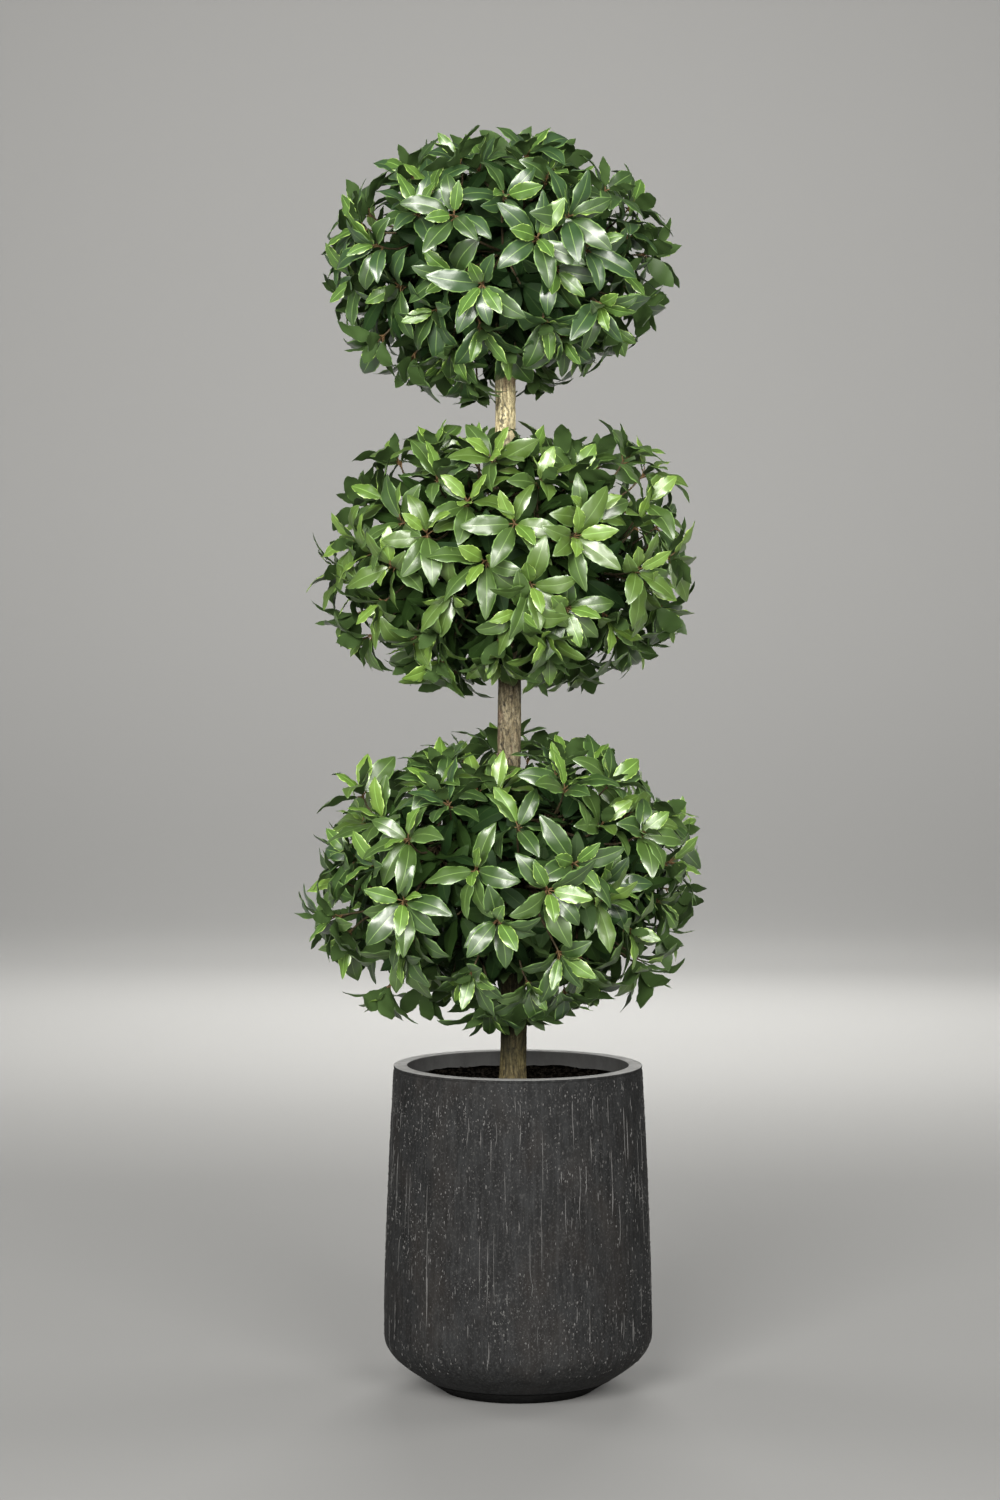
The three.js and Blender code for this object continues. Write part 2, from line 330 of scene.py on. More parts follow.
def wrapped(rings: np.ndarray, ends: np.ndarray, band_finishes: np.ndarray) -> Shell:
    """A closed surface of rings with the same number of points, shut by a point at both ends.

    Args:
        rings: ring by ring, the points of each, counter-clockwise seen from the last ring's side.
        ends: the closing point before the first ring and the one after the last.
        band_finishes: the finish of the first end, of each band between rings and of the last end.

    Returns:
        The surface, with a flat map of turns across and lengths up.
    """
    count, sides = rings.shape[:2]
    shell = Shell()
    first, last = end_faces(count, sides)
    shell.add(
        np.concatenate([rings.reshape(-1, 3), ends]),
        [first, band_faces(count, sides), last],
        [
            np.full(sides, band_finishes[0]),
            np.repeat(band_finishes[1:-1], sides),
            np.full(sides, band_finishes[-1]),
        ],
    )
    line = np.concatenate([ends[:1], rings[:, 0], ends[1:]])
    up = np.concatenate([[0], np.cumsum(np.linalg.norm(np.diff(line, axis=0), axis=1))])
    up = up / up[-1]
    here = np.arange(sides)
    left, right, middle = here / sides, (here + 1) / sides, (here + 0.5) / sides
    low = np.broadcast_to(up[1:-2, None], (count - 1, sides))
    high = np.broadcast_to(up[2:-1, None], (count - 1, sides))
    across = np.stack([left, right, right, left], axis=-1)
    band_map = np.stack(
        [np.broadcast_to(across, (count - 1, sides, 4)), np.stack([low, low, high, high], axis=-1)], axis=-1
    )
    for edge, tip, order in ((up[1], 0.0, (right, left)), (up[-2], 1.0, (left, right))):
        heights = np.broadcast_to([tip, edge, edge], (sides, 3))
        shell.maps.append(np.stack([np.stack([middle, *order], axis=-1), heights], axis=-1).reshape(-1, 2))
    shell.maps.insert(1, band_map.reshape(-1, 2))
    return shell


def limb(path: np.ndarray, radii: np.ndarray, sides: int) -> tuple[np.ndarray, list[np.ndarray]]:
    """A closed round limb along a path.

    Args:
        path: the points of its middle line.
        radii: its radius at each point.
        sides: how many sides it has.

    Returns:
        Its points, and its faces as a block of quads and a block of triangles.
    """
    tangents = unit(np.gradient(path, axis=0))
    leading = tangents.mean(axis=0)
    reference = np.eye(3)[np.argmin(np.abs(leading))]
    across = unit(np.cross(tangents, reference))
    upward = np.cross(tangents, across)
    cos, sin, _ = np.moveaxis(circle(sides), -1, 0)[:, None, :, None]
    rings = path[:, None] + radii[:, None, None] * (cos * across[:, None] + sin * upward[:, None])
    points = np.concatenate([rings.reshape(-1, 3), path[:1], path[-1:]])
    return points, [band_faces(len(path), sides), np.concatenate(end_faces(len(path), sides))]


class Graph:
    """The node tree of one finish while it is wired. Patterns lie in the frame's own coordinates."""

    def __init__(self, name: str, roughness: float, colour: Colour, shine: float = 0.5) -> None:
        """Start a material with one shader.

        Args:
            name: the material's name.
            roughness: the shader's roughness.
            colour: the base colour, where no pattern replaces it.
            shine: how strongly the surface mirrors, 0.5 for most things.
        """
        self.material = bpy.data.materials.new(name)
        self.material.use_nodes = True
        self.material.diffuse_color = (*colour, 1)
        self.tree = self.material.node_tree
        self.shader = self.tree.nodes["Principled BSDF"]
        self.shader.inputs["Base Color"].default_value = (*colour, 1)
        self.shader.inputs["Roughness"].default_value = roughness
        self.shader.inputs["Specular IOR Level"].default_value = shine

    def link(self, output: bpy.types.NodeSocket, target: bpy.types.NodeSocket) -> None:
        """Join an output to an input."""
        self.tree.links.new(output, target)

    def places(self) -> bpy.types.NodeSocket:
        """Places in the frame's coordinates."""
        return self.tree.nodes.new("ShaderNodeTexCoord").outputs["Object"]

    def noise(self, stretch: Axes, detail: float = 4, rough: float = 0.55) -> bpy.types.NodeSocket:
        """A cloud pattern.

        Args:
            stretch: how many lumps to a metre along each axis.
            detail: how many finer layers it has.
            rough: how strong the finer layers are.

        Returns:
            The pattern's value, about 0.5 on the whole.
        """
        mapping = self.tree.nodes.new("ShaderNodeMapping")
        mapping.inputs["Scale"].default_value = stretch
        self.link(self.places(), mapping.inputs["Vector"])
        cloud = self.tree.nodes.new("ShaderNodeTexNoise")
        cloud.inputs["Scale"].default_value = 1
        cloud.inputs["Detail"].default_value = detail
        cloud.inputs["Roughness"].default_value = rough
        self.link(mapping.outputs["Vector"], cloud.inputs["Vector"])
        return cloud.outputs["Fac"]

    def height(self, low: float, high: float) -> bpy.types.NodeSocket:
        """How far up a place is.

        Args:
            low: the height that counts as 0.
            high: the height that counts as 1.

        Returns:
            The share.
        """
        split = self.tree.nodes.new("ShaderNodeSeparateXYZ")
        self.link(self.places(), split.inputs["Vector"])
        scale = self.tree.nodes.new("ShaderNodeMapRange")
        scale.inputs["From Min"].default_value = low
        scale.inputs["From Max"].default_value = high
        self.link(split.outputs["Z"], scale.inputs["Value"])
        return scale.outputs["Result"]

    def ramp(self, value: bpy.types.NodeSocket, stops: list[tuple[float, Colour]]) -> bpy.types.NodeSocket:
        """Colours dealt out by a value.

        Args:
            value: what the colours follow.
            stops: the value and the colour at each stop, in rising order.

        Returns:
            The colour.
        """
        node = self.tree.nodes.new("ShaderNodeValToRGB")
        elements = node.color_ramp.elements
        while len(elements) < len(stops):
            elements.new(0.5)
        for element, (place, colour) in zip(elements, stops):
            element.position = place
            element.color = (*colour, 1)
        self.link(value, node.inputs["Fac"])
        return node.outputs["Color"]

    def share(
        self, value: bpy.types.NodeSocket, low: float, high: float, most: float = 1
    ) -> bpy.types.NodeSocket:
        """A share from 0, where a value is under low, to the most, where it is over high."""
        return self.ramp(value, [(low, grey(0)), (high, grey(most))])

    def mix(
        self,
        share: bpy.types.NodeSocket | float,
        under: bpy.types.NodeSocket,
        over: bpy.types.NodeSocket | Colour,
        blend: str = "MIX",
    ) -> bpy.types.NodeSocket:
        """Lay one colour over another.

        Args:
            share: how much of the upper colour shows.
            under: the lower colour.
            over: the upper colour.
            blend: how the two combine.

        Returns:
            The combined colour.
        """
        node = self.tree.nodes.new("ShaderNodeMix")
        node.data_type = "RGBA"
        node.blend_type = blend
        # The node has sockets of one name for each type of data, so those for colours go by their numbers
        factor, below, above, mixed = node.inputs[0], node.inputs[6], node.inputs[7], node.outputs[2]
        if isinstance(share, float):
            factor.default_value = share
        else:
            self.link(share, factor)
        self.link(under, below)
        if isinstance(over, tuple):
            above.default_value = (*over, 1)
        else:
            self.link(over, above)
        return mixed

    def paint(self, colour: bpy.types.NodeSocket) -> None:
        """Use a pattern as the base colour."""
        self.link(colour, self.shader.inputs["Base Color"])

    def bump(self, value: bpy.types.NodeSocket, depth: float) -> None:
        """Raise the surface by a value times a depth.

        Args:
            value: the pattern that the surface follows.
            depth: how far a value of 1 raises it.
        """
        node = self.tree.nodes.new("ShaderNodeBump")
        node.inputs["Distance"].default_value = depth
        node.inputs["Strength"].default_value = 1
        self.link(value, node.inputs["Height"])
        self.link(node.outputs["Normal"], self.shader.inputs["Normal"])


def grey(value: float) -> Colour:
    """A neutral colour."""
    return (value, value, value)


@dataclass(frozen=True)
class LeafFinish:
    """A glossy leaf of one plain colour."""

    name: str
    colour: Colour
    roughness: float = 0.43
    shine: float = 0.75
    coat: float = 0.42
    coat_roughness: float = 0.25

    def material(self) -> bpy.types.Material:
        """Make the finish, or find it where another piece has it too.

        Returns:
            The material.
        """
        made = bpy.data.materials.get(self.name)
        if made:
            return made
        graph = Graph(self.name, self.roughness, self.colour, self.shine)
        graph.shader.inputs["Coat Weight"].default_value = self.coat
        graph.shader.inputs["Coat Roughness"].default_value = self.coat_roughness
        return graph.material


def dull_leaf(name: str, colour: Colour) -> LeafFinish:
    """The finish of a leaf in the shade inside a ball: dull, in a darker green that is painted shade."""
    return LeafFinish(name, colour, roughness=0.6, shine=0.12, coat=0.0)


@dataclass(frozen=True)
class CastStoneFinish:
    """Matte charcoal stone with fine upright brush marks, brown mottling and small specks."""

    name: str
    dark: Colour = (0.0026, 0.0027, 0.0029)
    middle: Colour = (0.0062, 0.0064, 0.0068)
    light: Colour = (0.0160, 0.0166, 0.0174)
    brown: Colour = (0.0142, 0.0113, 0.0096)
    speck: Colour = (0.042, 0.0414, 0.0406)
    speck_share: float = 0.45
    roughness: float = 0.85
    shine: float = 0.2
    marks: Axes = (190, 190, 16)
    relief: float = 0.0008

    def material(self) -> bpy.types.Material:
        """Make the finish.

        Returns:
            The material.
        """
        graph = Graph(self.name, self.roughness, self.middle, self.shine)
        marks = graph.noise(self.marks, detail=6, rough=0.65)
        colour = graph.ramp(marks, [(0.30, self.dark), (0.50, self.middle), (0.74, self.light)])
        clouds = graph.share(graph.noise((34, 34, 24), detail=5, rough=0.65), 0.48, 0.70, most=0.6)
        colour = graph.mix(clouds, colour, self.light)
        mottle = graph.share(graph.noise((14, 14, 9), detail=3), 0.50, 0.70, most=0.4)
        colour = graph.mix(mottle, colour, self.brown)
        specks = graph.share(graph.noise((400, 400, 300), detail=2), 0.54, 0.70, most=self.speck_share)
        graph.paint(graph.mix(specks, colour, self.speck))
        graph.bump(marks, self.relief)
        return graph.material


@dataclass(frozen=True)
class RidgeFinish:
    """The paler skin of the planter's raised streaks and dots."""

    name: str = "planter_ridge_skin"
    low: Colour = (0.018, 0.0178, 0.0175)
    high: Colour = (0.070, 0.069, 0.068)
    roughness: float = 0.62

    def material(self) -> bpy.types.Material:
        """Make the finish.

        Returns:
            The material.
        """
        graph = Graph(self.name, self.roughness, self.high, shine=0.3)
        patches = graph.noise((60, 60, 34), detail=3)
        graph.paint(graph.ramp(patches, [(0.34, self.low), (0.66, self.high)]))
        graph.bump(graph.noise((900, 900, 900), detail=2), 0.0003)
        return graph.material


@dataclass(frozen=True)
class CompostFinish:
    """Moist dark compost with a few paler crumbs."""

    name: str
    dark: Colour = (0.0004, 0.0004, 0.0003)
    light: Colour = (0.0030, 0.0024, 0.0019)
    roughness: float = 0.95

    def material(self) -> bpy.types.Material:
        """Make the finish.

        Returns:
            The material.
        """
        graph = Graph(self.name, self.roughness, self.dark, shine=0.0)
        crumbs = graph.noise((420, 420, 420), detail=6, rough=0.7)
        graph.paint(graph.ramp(crumbs, [(0.42, self.dark), (0.72, self.light)]))
        graph.bump(crumbs, 0.002)
        return graph.material


@dataclass(frozen=True)
class BarkFinish:
    """Tan bark with upright fibres and grey and pinkish patches, with painted shade by height that is
    darkest, and a little olive, near the ground under the lower ball, and paler up the trunk.
    """

    name: str
    ground: float
    shade_top: float
    fissure: Colour = (0.042, 0.032, 0.018)
    tan: Colour = (0.350, 0.286, 0.160)
    beige: Colour = (0.660, 0.570, 0.355)
    pale: Colour = (0.960, 0.880, 0.610)
    ash: Colour = (0.105, 0.093, 0.070)
    pink: Colour = (0.460, 0.295, 0.205)
    roughness: float = 0.82
    relief: float = 0.0011

    def material(self) -> bpy.types.Material:
        """Make the finish.

        Returns:
            The material.
        """
        graph = Graph(self.name, self.roughness, self.tan, shine=0.2)
        fibres = graph.noise((370, 370, 38), detail=6, rough=0.68)
        colour = graph.ramp(
            fibres, [(0.30, self.fissure), (0.43, self.tan), (0.57, self.beige), (0.72, self.pale)]
        )
        spots = graph.share(graph.noise((330, 330, 190), detail=2), 0.50, 0.62, most=0.9)
        patches = graph.share(graph.noise((52, 52, 20), detail=3), 0.40, 0.56)
        ash = graph.mix(1.0, spots, patches, "MULTIPLY")
        colour = graph.mix(ash, colour, self.ash)
        shade = graph.share(graph.noise((40, 40, 13), detail=4), 0.54, 0.66, most=0.65)
        colour = graph.mix(shade, colour, self.ash)
        pink = graph.share(graph.noise((46, 46, 24), detail=3), 0.56, 0.68, most=0.6)
        colour = graph.mix(pink, colour, self.pink)
        flecks = graph.noise((290, 290, 170), detail=5, rough=0.7)
        mottle = graph.ramp(flecks, [(0.38, grey(0.36)), (0.50, grey(0.78)), (0.60, grey(1.0))])
        colour = graph.mix(1.0, colour, mottle, "MULTIPLY")
        # Painted shade and light by height up the trunk: darkest just under the lower ball, middling near
        # the middle ball's bottom and palest higher up, with a little light at the very foot
        painted_shade_by_height = graph.ramp(
            graph.height(self.ground, self.shade_top),
            [
                (0.00, (0.185, 0.172, 0.128)),
                (0.03, (0.090, 0.089, 0.060)),
                (0.07, (0.060, 0.062, 0.041)),
                (0.30, (0.13, 0.13, 0.10)),
                (0.44, (0.31, 0.305, 0.315)),
                (0.56, (0.32, 0.315, 0.315)),
                (0.76, (0.84, 0.855, 0.82)),
            ],
        )
        graph.paint(graph.mix(1.0, colour, painted_shade_by_height, "MULTIPLY"))
        graph.bump(fibres, self.relief)
        return graph.material


@dataclass(frozen=True)
class TwigFinish:
    """Thin brown bark of the boughs and twigs, and the skin of the leaf stalks."""

    name: str
    dark: Colour
    light: Colour
    roughness: float = 0.7

    def material(self) -> bpy.types.Material:
        """Make the finish.

        Returns:
            The material.
        """
        graph = Graph(self.name, self.roughness, self.light, shine=0.25)
        grain = graph.noise((300, 300, 160), detail=3)
        graph.paint(graph.ramp(grain, [(0.35, self.dark), (0.65, self.light)]))
        graph.bump(grain, 0.0005)
        return graph.material


@dataclass(frozen=True)
class FloorFinish:
    """The plain pale studio floor."""

    name: str = "studio_floor"
    colour: Colour = (0.178, 0.178, 0.178)
    roughness: float = 0.75

    def material(self) -> bpy.types.Material:
        """The finish of the floor."""
        return Graph(self.name, self.roughness, self.colour).material


class PlanterSkin(Enum):
    """The three surfaces of the planter, by the number of their finish."""

    WALL = 0
    RIM = 1
    INSIDE = 2


@dataclass
class Planter:
    """The round planter: a brushed wall with raised streaks and dots, a smooth rim and a dark foot."""

    # The underside, and the heel's curve from there to the belly, where the planter is widest
    underside_radius: float = 0.127
    underside_rings: Span = (0.4, 0.85)
    heel_height: float = 0.057
    heel_slope: float = math.radians(34.5)
    heel_ease: float = 0.032
    heel_round: float = 0.026

    # The wall, the floor and the rim with the groove below it
    rim_radius: float = 0.162
    shoulder_share: float = 0.3
    wall: float = 0.018
    floor: float = 0.020
    rim_edge: float = 0.0018
    groove_height: float = 0.0028
    groove_depth: float = 0.0011
    lip_grooves: float = 5

    # Points round a ring, and rows of each stretch of the outline
    sides: int = 320
    wall_rows: int = 88
    heel_rows: int = 18
    lip_rows: int = 24
    edge_rows: int = 4
    cavity_rows: int = 12

    # The plain band under the rim, and the brush marks, which fade in below it and above the heel
    plain_band: float = 0.009
    brush_depth: float = 0.00028
    brush_grids: tuple[Grid, Grid] = ((170, 14), (90, 40))
    brush_fade: float = 0.006
    brush_start: Span = (0.012, 0.05)

    # Streaks: short ones outnumber long ones, and long ones wander and hook more
    streaks: int = 900
    streak_length: Span = (0.005, 0.105)
    streak_shortness: float = 5
    streak_start: float = 0.03
    streak_step: float = 0.005
    streak_steps: tuple[int, int] = (4, 16)
    streak_wander: float = 0.0006
    wander_length: float = 0.03
    wander_waves: Span = (0.5, 2.5)
    streak_hook: float = 0.0011
    hook_length: float = 0.04
    hook_start: float = 0.7

    # Thickness of the streaks, which taper at both ends and sink a little into the wall
    streak_radius: Span = (0.00050, 0.00095)
    streak_fullness: float = 1.25
    streak_taper: float = 0.4
    streak_end: float = 0.02
    streak_stray: float = 0.18
    streak_swell: Span = (0.6, 1.35)
    streak_sink: float = 0.3

    # Dots, in crowds: small ones outnumber large ones
    dots: int = 5200
    dot_radius: Span = (0.0005, 0.0015)
    dot_smallness: float = 2
    dot_start: float = 0.022
    dot_crowds: Grid = (13, 8)
    dot_density: Span = (0.5, 0.9)
    dot_stretch: Span = (1.0, 1.9)
    dot_lean: float = 0.25
    dot_sink: float = 0.35
    dot_rings: tuple[float, ...] = (-0.8, 0, 0.8)
    dot_girths: tuple[float, ...] = (0.6, 1, 0.6)
    ridge_sides: int = 6

    # The foot, narrower at the floor than at its top
    foot_draft: float = 0.024
    foot_edge: float = 0.001
    foot_sides: int = 128
    seed: int = 41

    def __post_init__(self) -> None:
        """Take the heights and the belly from the frame."""
        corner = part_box("planter_body")[1]
        foot_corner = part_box("planter_foot")[1]
        self.height = corner.z
        self.belly_radius = corner.x
        self.foot_height = foot_corner.z
        self.foot_radius = foot_corner.x
        self.belly_z = self.foot_height + self.heel_height

    def outside(self) -> np.ndarray:
        """Draw the heel and the wall.

        Returns:
            Their outline, as radius and height, from the underside to the rim.
        """
        rise = (self.heel_ease * math.cos(self.heel_slope), self.heel_ease * math.sin(self.heel_slope))
        heel = bezier(
            [
                (self.underside_radius, self.foot_height),
                (self.underside_radius + rise[0], self.foot_height + rise[1]),
                (self.belly_radius, self.belly_z - self.heel_round),
                (self.belly_radius, self.belly_z),
            ],
            self.heel_rows,
        )
        wall_top = self.height - self.rim_edge
        shoulder = self.belly_z + self.shoulder_share * (self.height - self.belly_z)
        wall = bezier(
            [(self.belly_radius, self.belly_z), (self.belly_radius, shoulder), (self.rim_radius, wall_top)],
            self.wall_rows,
        )
        fine = np.linspace(wall_top - self.lip_grooves * self.groove_height, wall_top, self.lip_rows)
        coarse = wall[1:][wall[1:, 1] < fine[0]]
        lip = np.stack([np.interp(fine, wall[:, 1], wall[:, 0]), fine], axis=-1)
        return np.concatenate([heel, coarse, lip])

    def rim(self) -> np.ndarray:
        """Draw the rim's top with its rounded edges.

        Returns:
            Its outline, as radius and height, from outside to inside.
        """
        edge, top = self.rim_edge, self.height
        outer, inner = self.rim_radius, self.rim_radius - self.wall
        outer_edge = bezier([(outer, top - edge), (outer, top), (outer - edge, top)], self.edge_rows)
        inner_edge = bezier([(inner + edge, top), (inner, top), (inner, top - edge)], self.edge_rows)
        return np.concatenate([outer_edge[1:], inner_edge])

    def cavity(self) -> np.ndarray:
        """Draw the inner wall and the corner of its floor.

        Returns:
            Their outline, as radius and height, from the rim down.
        """
        slope = self.heel_slope
        floor_z = self.foot_height + self.floor
        floor_radius = self.underside_radius + (self.floor * math.cos(slope) - self.wall) / math.sin(slope)
        inner = self.rim_radius - self.wall
        top = np.array([inner, self.height - self.rim_edge])
        belly = np.array([self.belly_radius - self.wall, self.belly_z])
        shares = np.linspace(0, 1, self.cavity_rows + 1)[1:, None]
        return np.concatenate([top * (1 - shares) + belly * shares, [(floor_radius, floor_z)]])

    def build_body(self) -> None:
        """Make the shell, with its brush marks and the groove under the rim, and dress it."""
        outside, rim, cavity = self.outside(), self.rim(), self.cavity()
        rings_under = self.underside_radius * np.array(self.underside_rings)
        underside = np.stack([rings_under, np.full_like(rings_under, self.foot_height)], axis=-1)
        outline = np.concatenate([underside, outside, rim, cavity])
        first_rim = len(underside) + len(outside)
        turn = np.arange(self.sides)[None] / self.sides
        z = outline[:, None, 1]
        on_wall = (np.arange(len(outline)) < first_rim)[:, None]
        brush = layered_noise(self.seed, self.brush_grids, turn, z / self.height)
        below_rim = self.height - z
        fade = smoothstep(self.rim_edge, self.plain_band + self.brush_fade, below_rim)
        fade = fade * smoothstep(*self.brush_start, z)
        groove_middle = self.rim_edge + self.groove_height
        groove = np.exp(-(((below_rim - groove_middle) / (0.5 * self.groove_height)) ** 2))
        swell = np.where(on_wall, self.brush_depth * brush * fade - self.groove_depth * groove, 0)
        rings = turned_rings(outline, self.sides) + swell[..., None] * circle(self.sides)[None]
        half_edge = self.edge_rows // 2
        bands = np.full(len(outline) + 1, PlanterSkin.WALL.value)
        bands[first_rim + half_edge:] = PlanterSkin.RIM.value
        bands[first_rim + len(rim) - half_edge:] = PlanterSkin.INSIDE.value
        ends = np.array([(0, 0, self.foot_height), (0, 0, outline[-1, 1])])
        finishes = [
            CastStoneFinish("planter_brushed_wall"),
            # The rim's pale grey, far paler than the charcoal wall, is painted sheen for the light that its
            # smooth top catches
            CastStoneFinish(
                "planter_smooth_rim_painted_sheen",
                dark=grey(0.14),
                middle=grey(0.185),
                light=grey(0.24),
                brown=(0.17, 0.167, 0.162),
                speck=grey(0.28),
                speck_share=0.3,
                roughness=0.5,
                marks=(80, 80, 80),
                relief=0.0002,
            ),
            # The inner wall's grey, several times paler than the outer wall, is painted light for the light
            # that falls on it over the front rim
            CastStoneFinish(
                "planter_inner_wall_painted_light",
                dark=grey(0.028),
                middle=grey(0.038),
                light=grey(0.050),
                brown=(0.038, 0.0368, 0.0351),
                speck=grey(0.056),
                speck_share=0.25,
                marks=(60, 60, 30),
                relief=0.0003,
            ),
        ]
        body = wrapped(rings, ends, bands).piece(
            "planter_shell", [finish.material() for finish in finishes], "planter_shell"
        )
        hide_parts("planter_body")

    def on_wall(self, angle: np.ndarray, z: np.ndarray) -> tuple[np.ndarray, np.ndarray]:
        """Places on the wall and the wall's outward direction there.

        Args:
            angle: angle round the axis.
            z: height.

        Returns:
            The places and the unit directions.
        """
        outline = self.outside()
        slopes = np.gradient(outline[:, 0], outline[:, 1])
        radius = np.interp(z, outline[:, 1], outline[:, 0])
        slope = np.interp(z, outline[:, 1], slopes)
        radial = np.stack([np.cos(angle), np.sin(angle), np.zeros_like(angle)], axis=-1)
        place = radius[..., None] * radial
        place[..., 2] = z
        outward = radial.copy()
        outward[..., 2] = -slope
        return place, unit(outward)

    def build_streaks(self) -> None:
        """Make the raised streaks: thin upright ridges that wander a little and fade at both ends."""
        rng = np.random.default_rng(self.seed + 2)
        shell = Shell()
        top = self.height - self.plain_band
        shortest, longest = self.streak_length
        for _ in range(self.streaks):
            length = shortest * (longest / shortest) ** (rng.random() ** self.streak_shortness)
            upper = rng.uniform(self.foot_height + self.streak_start + length, top)
            steps = int(np.clip(length / self.streak_step, *self.streak_steps))
            share = np.linspace(0, 1, steps + 1)
            z = upper - length * share
            bend = rng.normal(0, self.streak_wander) * min(1, length / self.wander_length)
            wander = bend * np.sin(math.pi * share * rng.uniform(*self.wander_waves))
            hook = rng.normal(0, self.streak_hook) * min(1, length / self.hook_length)
            hook = hook * smoothstep(self.hook_start, 1, share)
            angle = rng.uniform(0, FULL_TURN) + (wander + hook) / self.belly_radius
            place, outward = self.on_wall(angle, z)
            radius = rng.uniform(*self.streak_radius)
            arch = np.sin(math.pi * np.clip(share, self.streak_end, 1 - self.streak_end))
            ends = np.clip(self.streak_fullness * arch**self.streak_taper, 0, 1)
            uneven = 1 + self.streak_stray * rng.normal(size=steps + 1)
            radii = radius * ends * np.clip(uneven, *self.streak_swell)
            shell.add(*limb(place - self.streak_sink * radius * outward, radii, self.ridge_sides))
        shell.piece("planter_streaks", [RidgeFinish().material()], "planter_shell")

    def build_dots(self) -> None:
        """Make the raised dots: small squat beads sunk in the wall, a little longer than wide."""
        rng = np.random.default_rng(self.seed + 3)
        shell = Shell()
        crowding = LatticeNoise(self.seed + 4, *self.dot_crowds)
        usual, varying = self.dot_density
        least, most = self.dot_radius
        rings, girths = np.array(self.dot_rings), np.array(self.dot_girths)
        points_per_dot = len(rings) * self.ridge_sides + 2
        low, high = self.foot_height + self.dot_start, self.height - self.plain_band
        while shell.count < self.dots * points_per_dot:
            turn = rng.random()
            z = rng.uniform(low, high)
            if rng.random() > usual + varying * crowding.at(np.array(turn), np.array(z / self.height)):
                continue
            radius = least + (most - least) * rng.random() ** self.dot_smallness
            stretch = rng.uniform(*self.dot_stretch)
            lean = rng.normal(0, self.dot_lean) * radius * rings / self.belly_radius
            place, outward = self.on_wall(FULL_TURN * turn + lean, z + stretch * radius * rings)
            shell.add(*limb(place - self.dot_sink * radius * outward, radius * girths, self.ridge_sides))
        finish = RidgeFinish("planter_dot_skin", low=(0.016, 0.0158, 0.0155), high=(0.066, 0.065, 0.0635))
        shell.piece("planter_dots", [finish.material()], "planter_shell")

    def build_foot(self) -> None:
        """Make the foot with softened edges, in a near-black that is painted shade for its recess under the
        heel.
        """
        low, high, top = self.foot_radius - self.foot_draft, self.foot_radius, self.foot_height
        edge, inside = self.foot_edge, 0.5 * low
        under = [(inside, 0), (low - edge, 0), (low, edge)]
        outline = np.array([*under, (high, top - edge), (high - edge, top), (inside, top)])
        # Near-black, darker than the wall's charcoal: painted shade for the recess under the heel
        finish = CastStoneFinish(
            "planter_foot_painted_shade",
            dark=grey(0.0010),
            middle=grey(0.0018),
            light=grey(0.0040),
            brown=(0.0020, 0.0018, 0.0016),
            speck=grey(0.010),
            speck_share=0.25,
            shine=0.05,
        )
        ends = np.array([(0, 0, 0), (0, 0, top)])
        bands = np.zeros(len(outline) + 1, int)
        disc = wrapped(turned_rings(outline, self.foot_sides), ends, bands)
        foot = disc.piece("planter_foot_disc", [finish.material()], "planter_foot")
        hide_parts("planter_foot")

    def build(self) -> None:
        """Make every piece of the planter."""
        self.build_body()
        self.build_streaks()
        self.build_dots()
        self.build_foot()


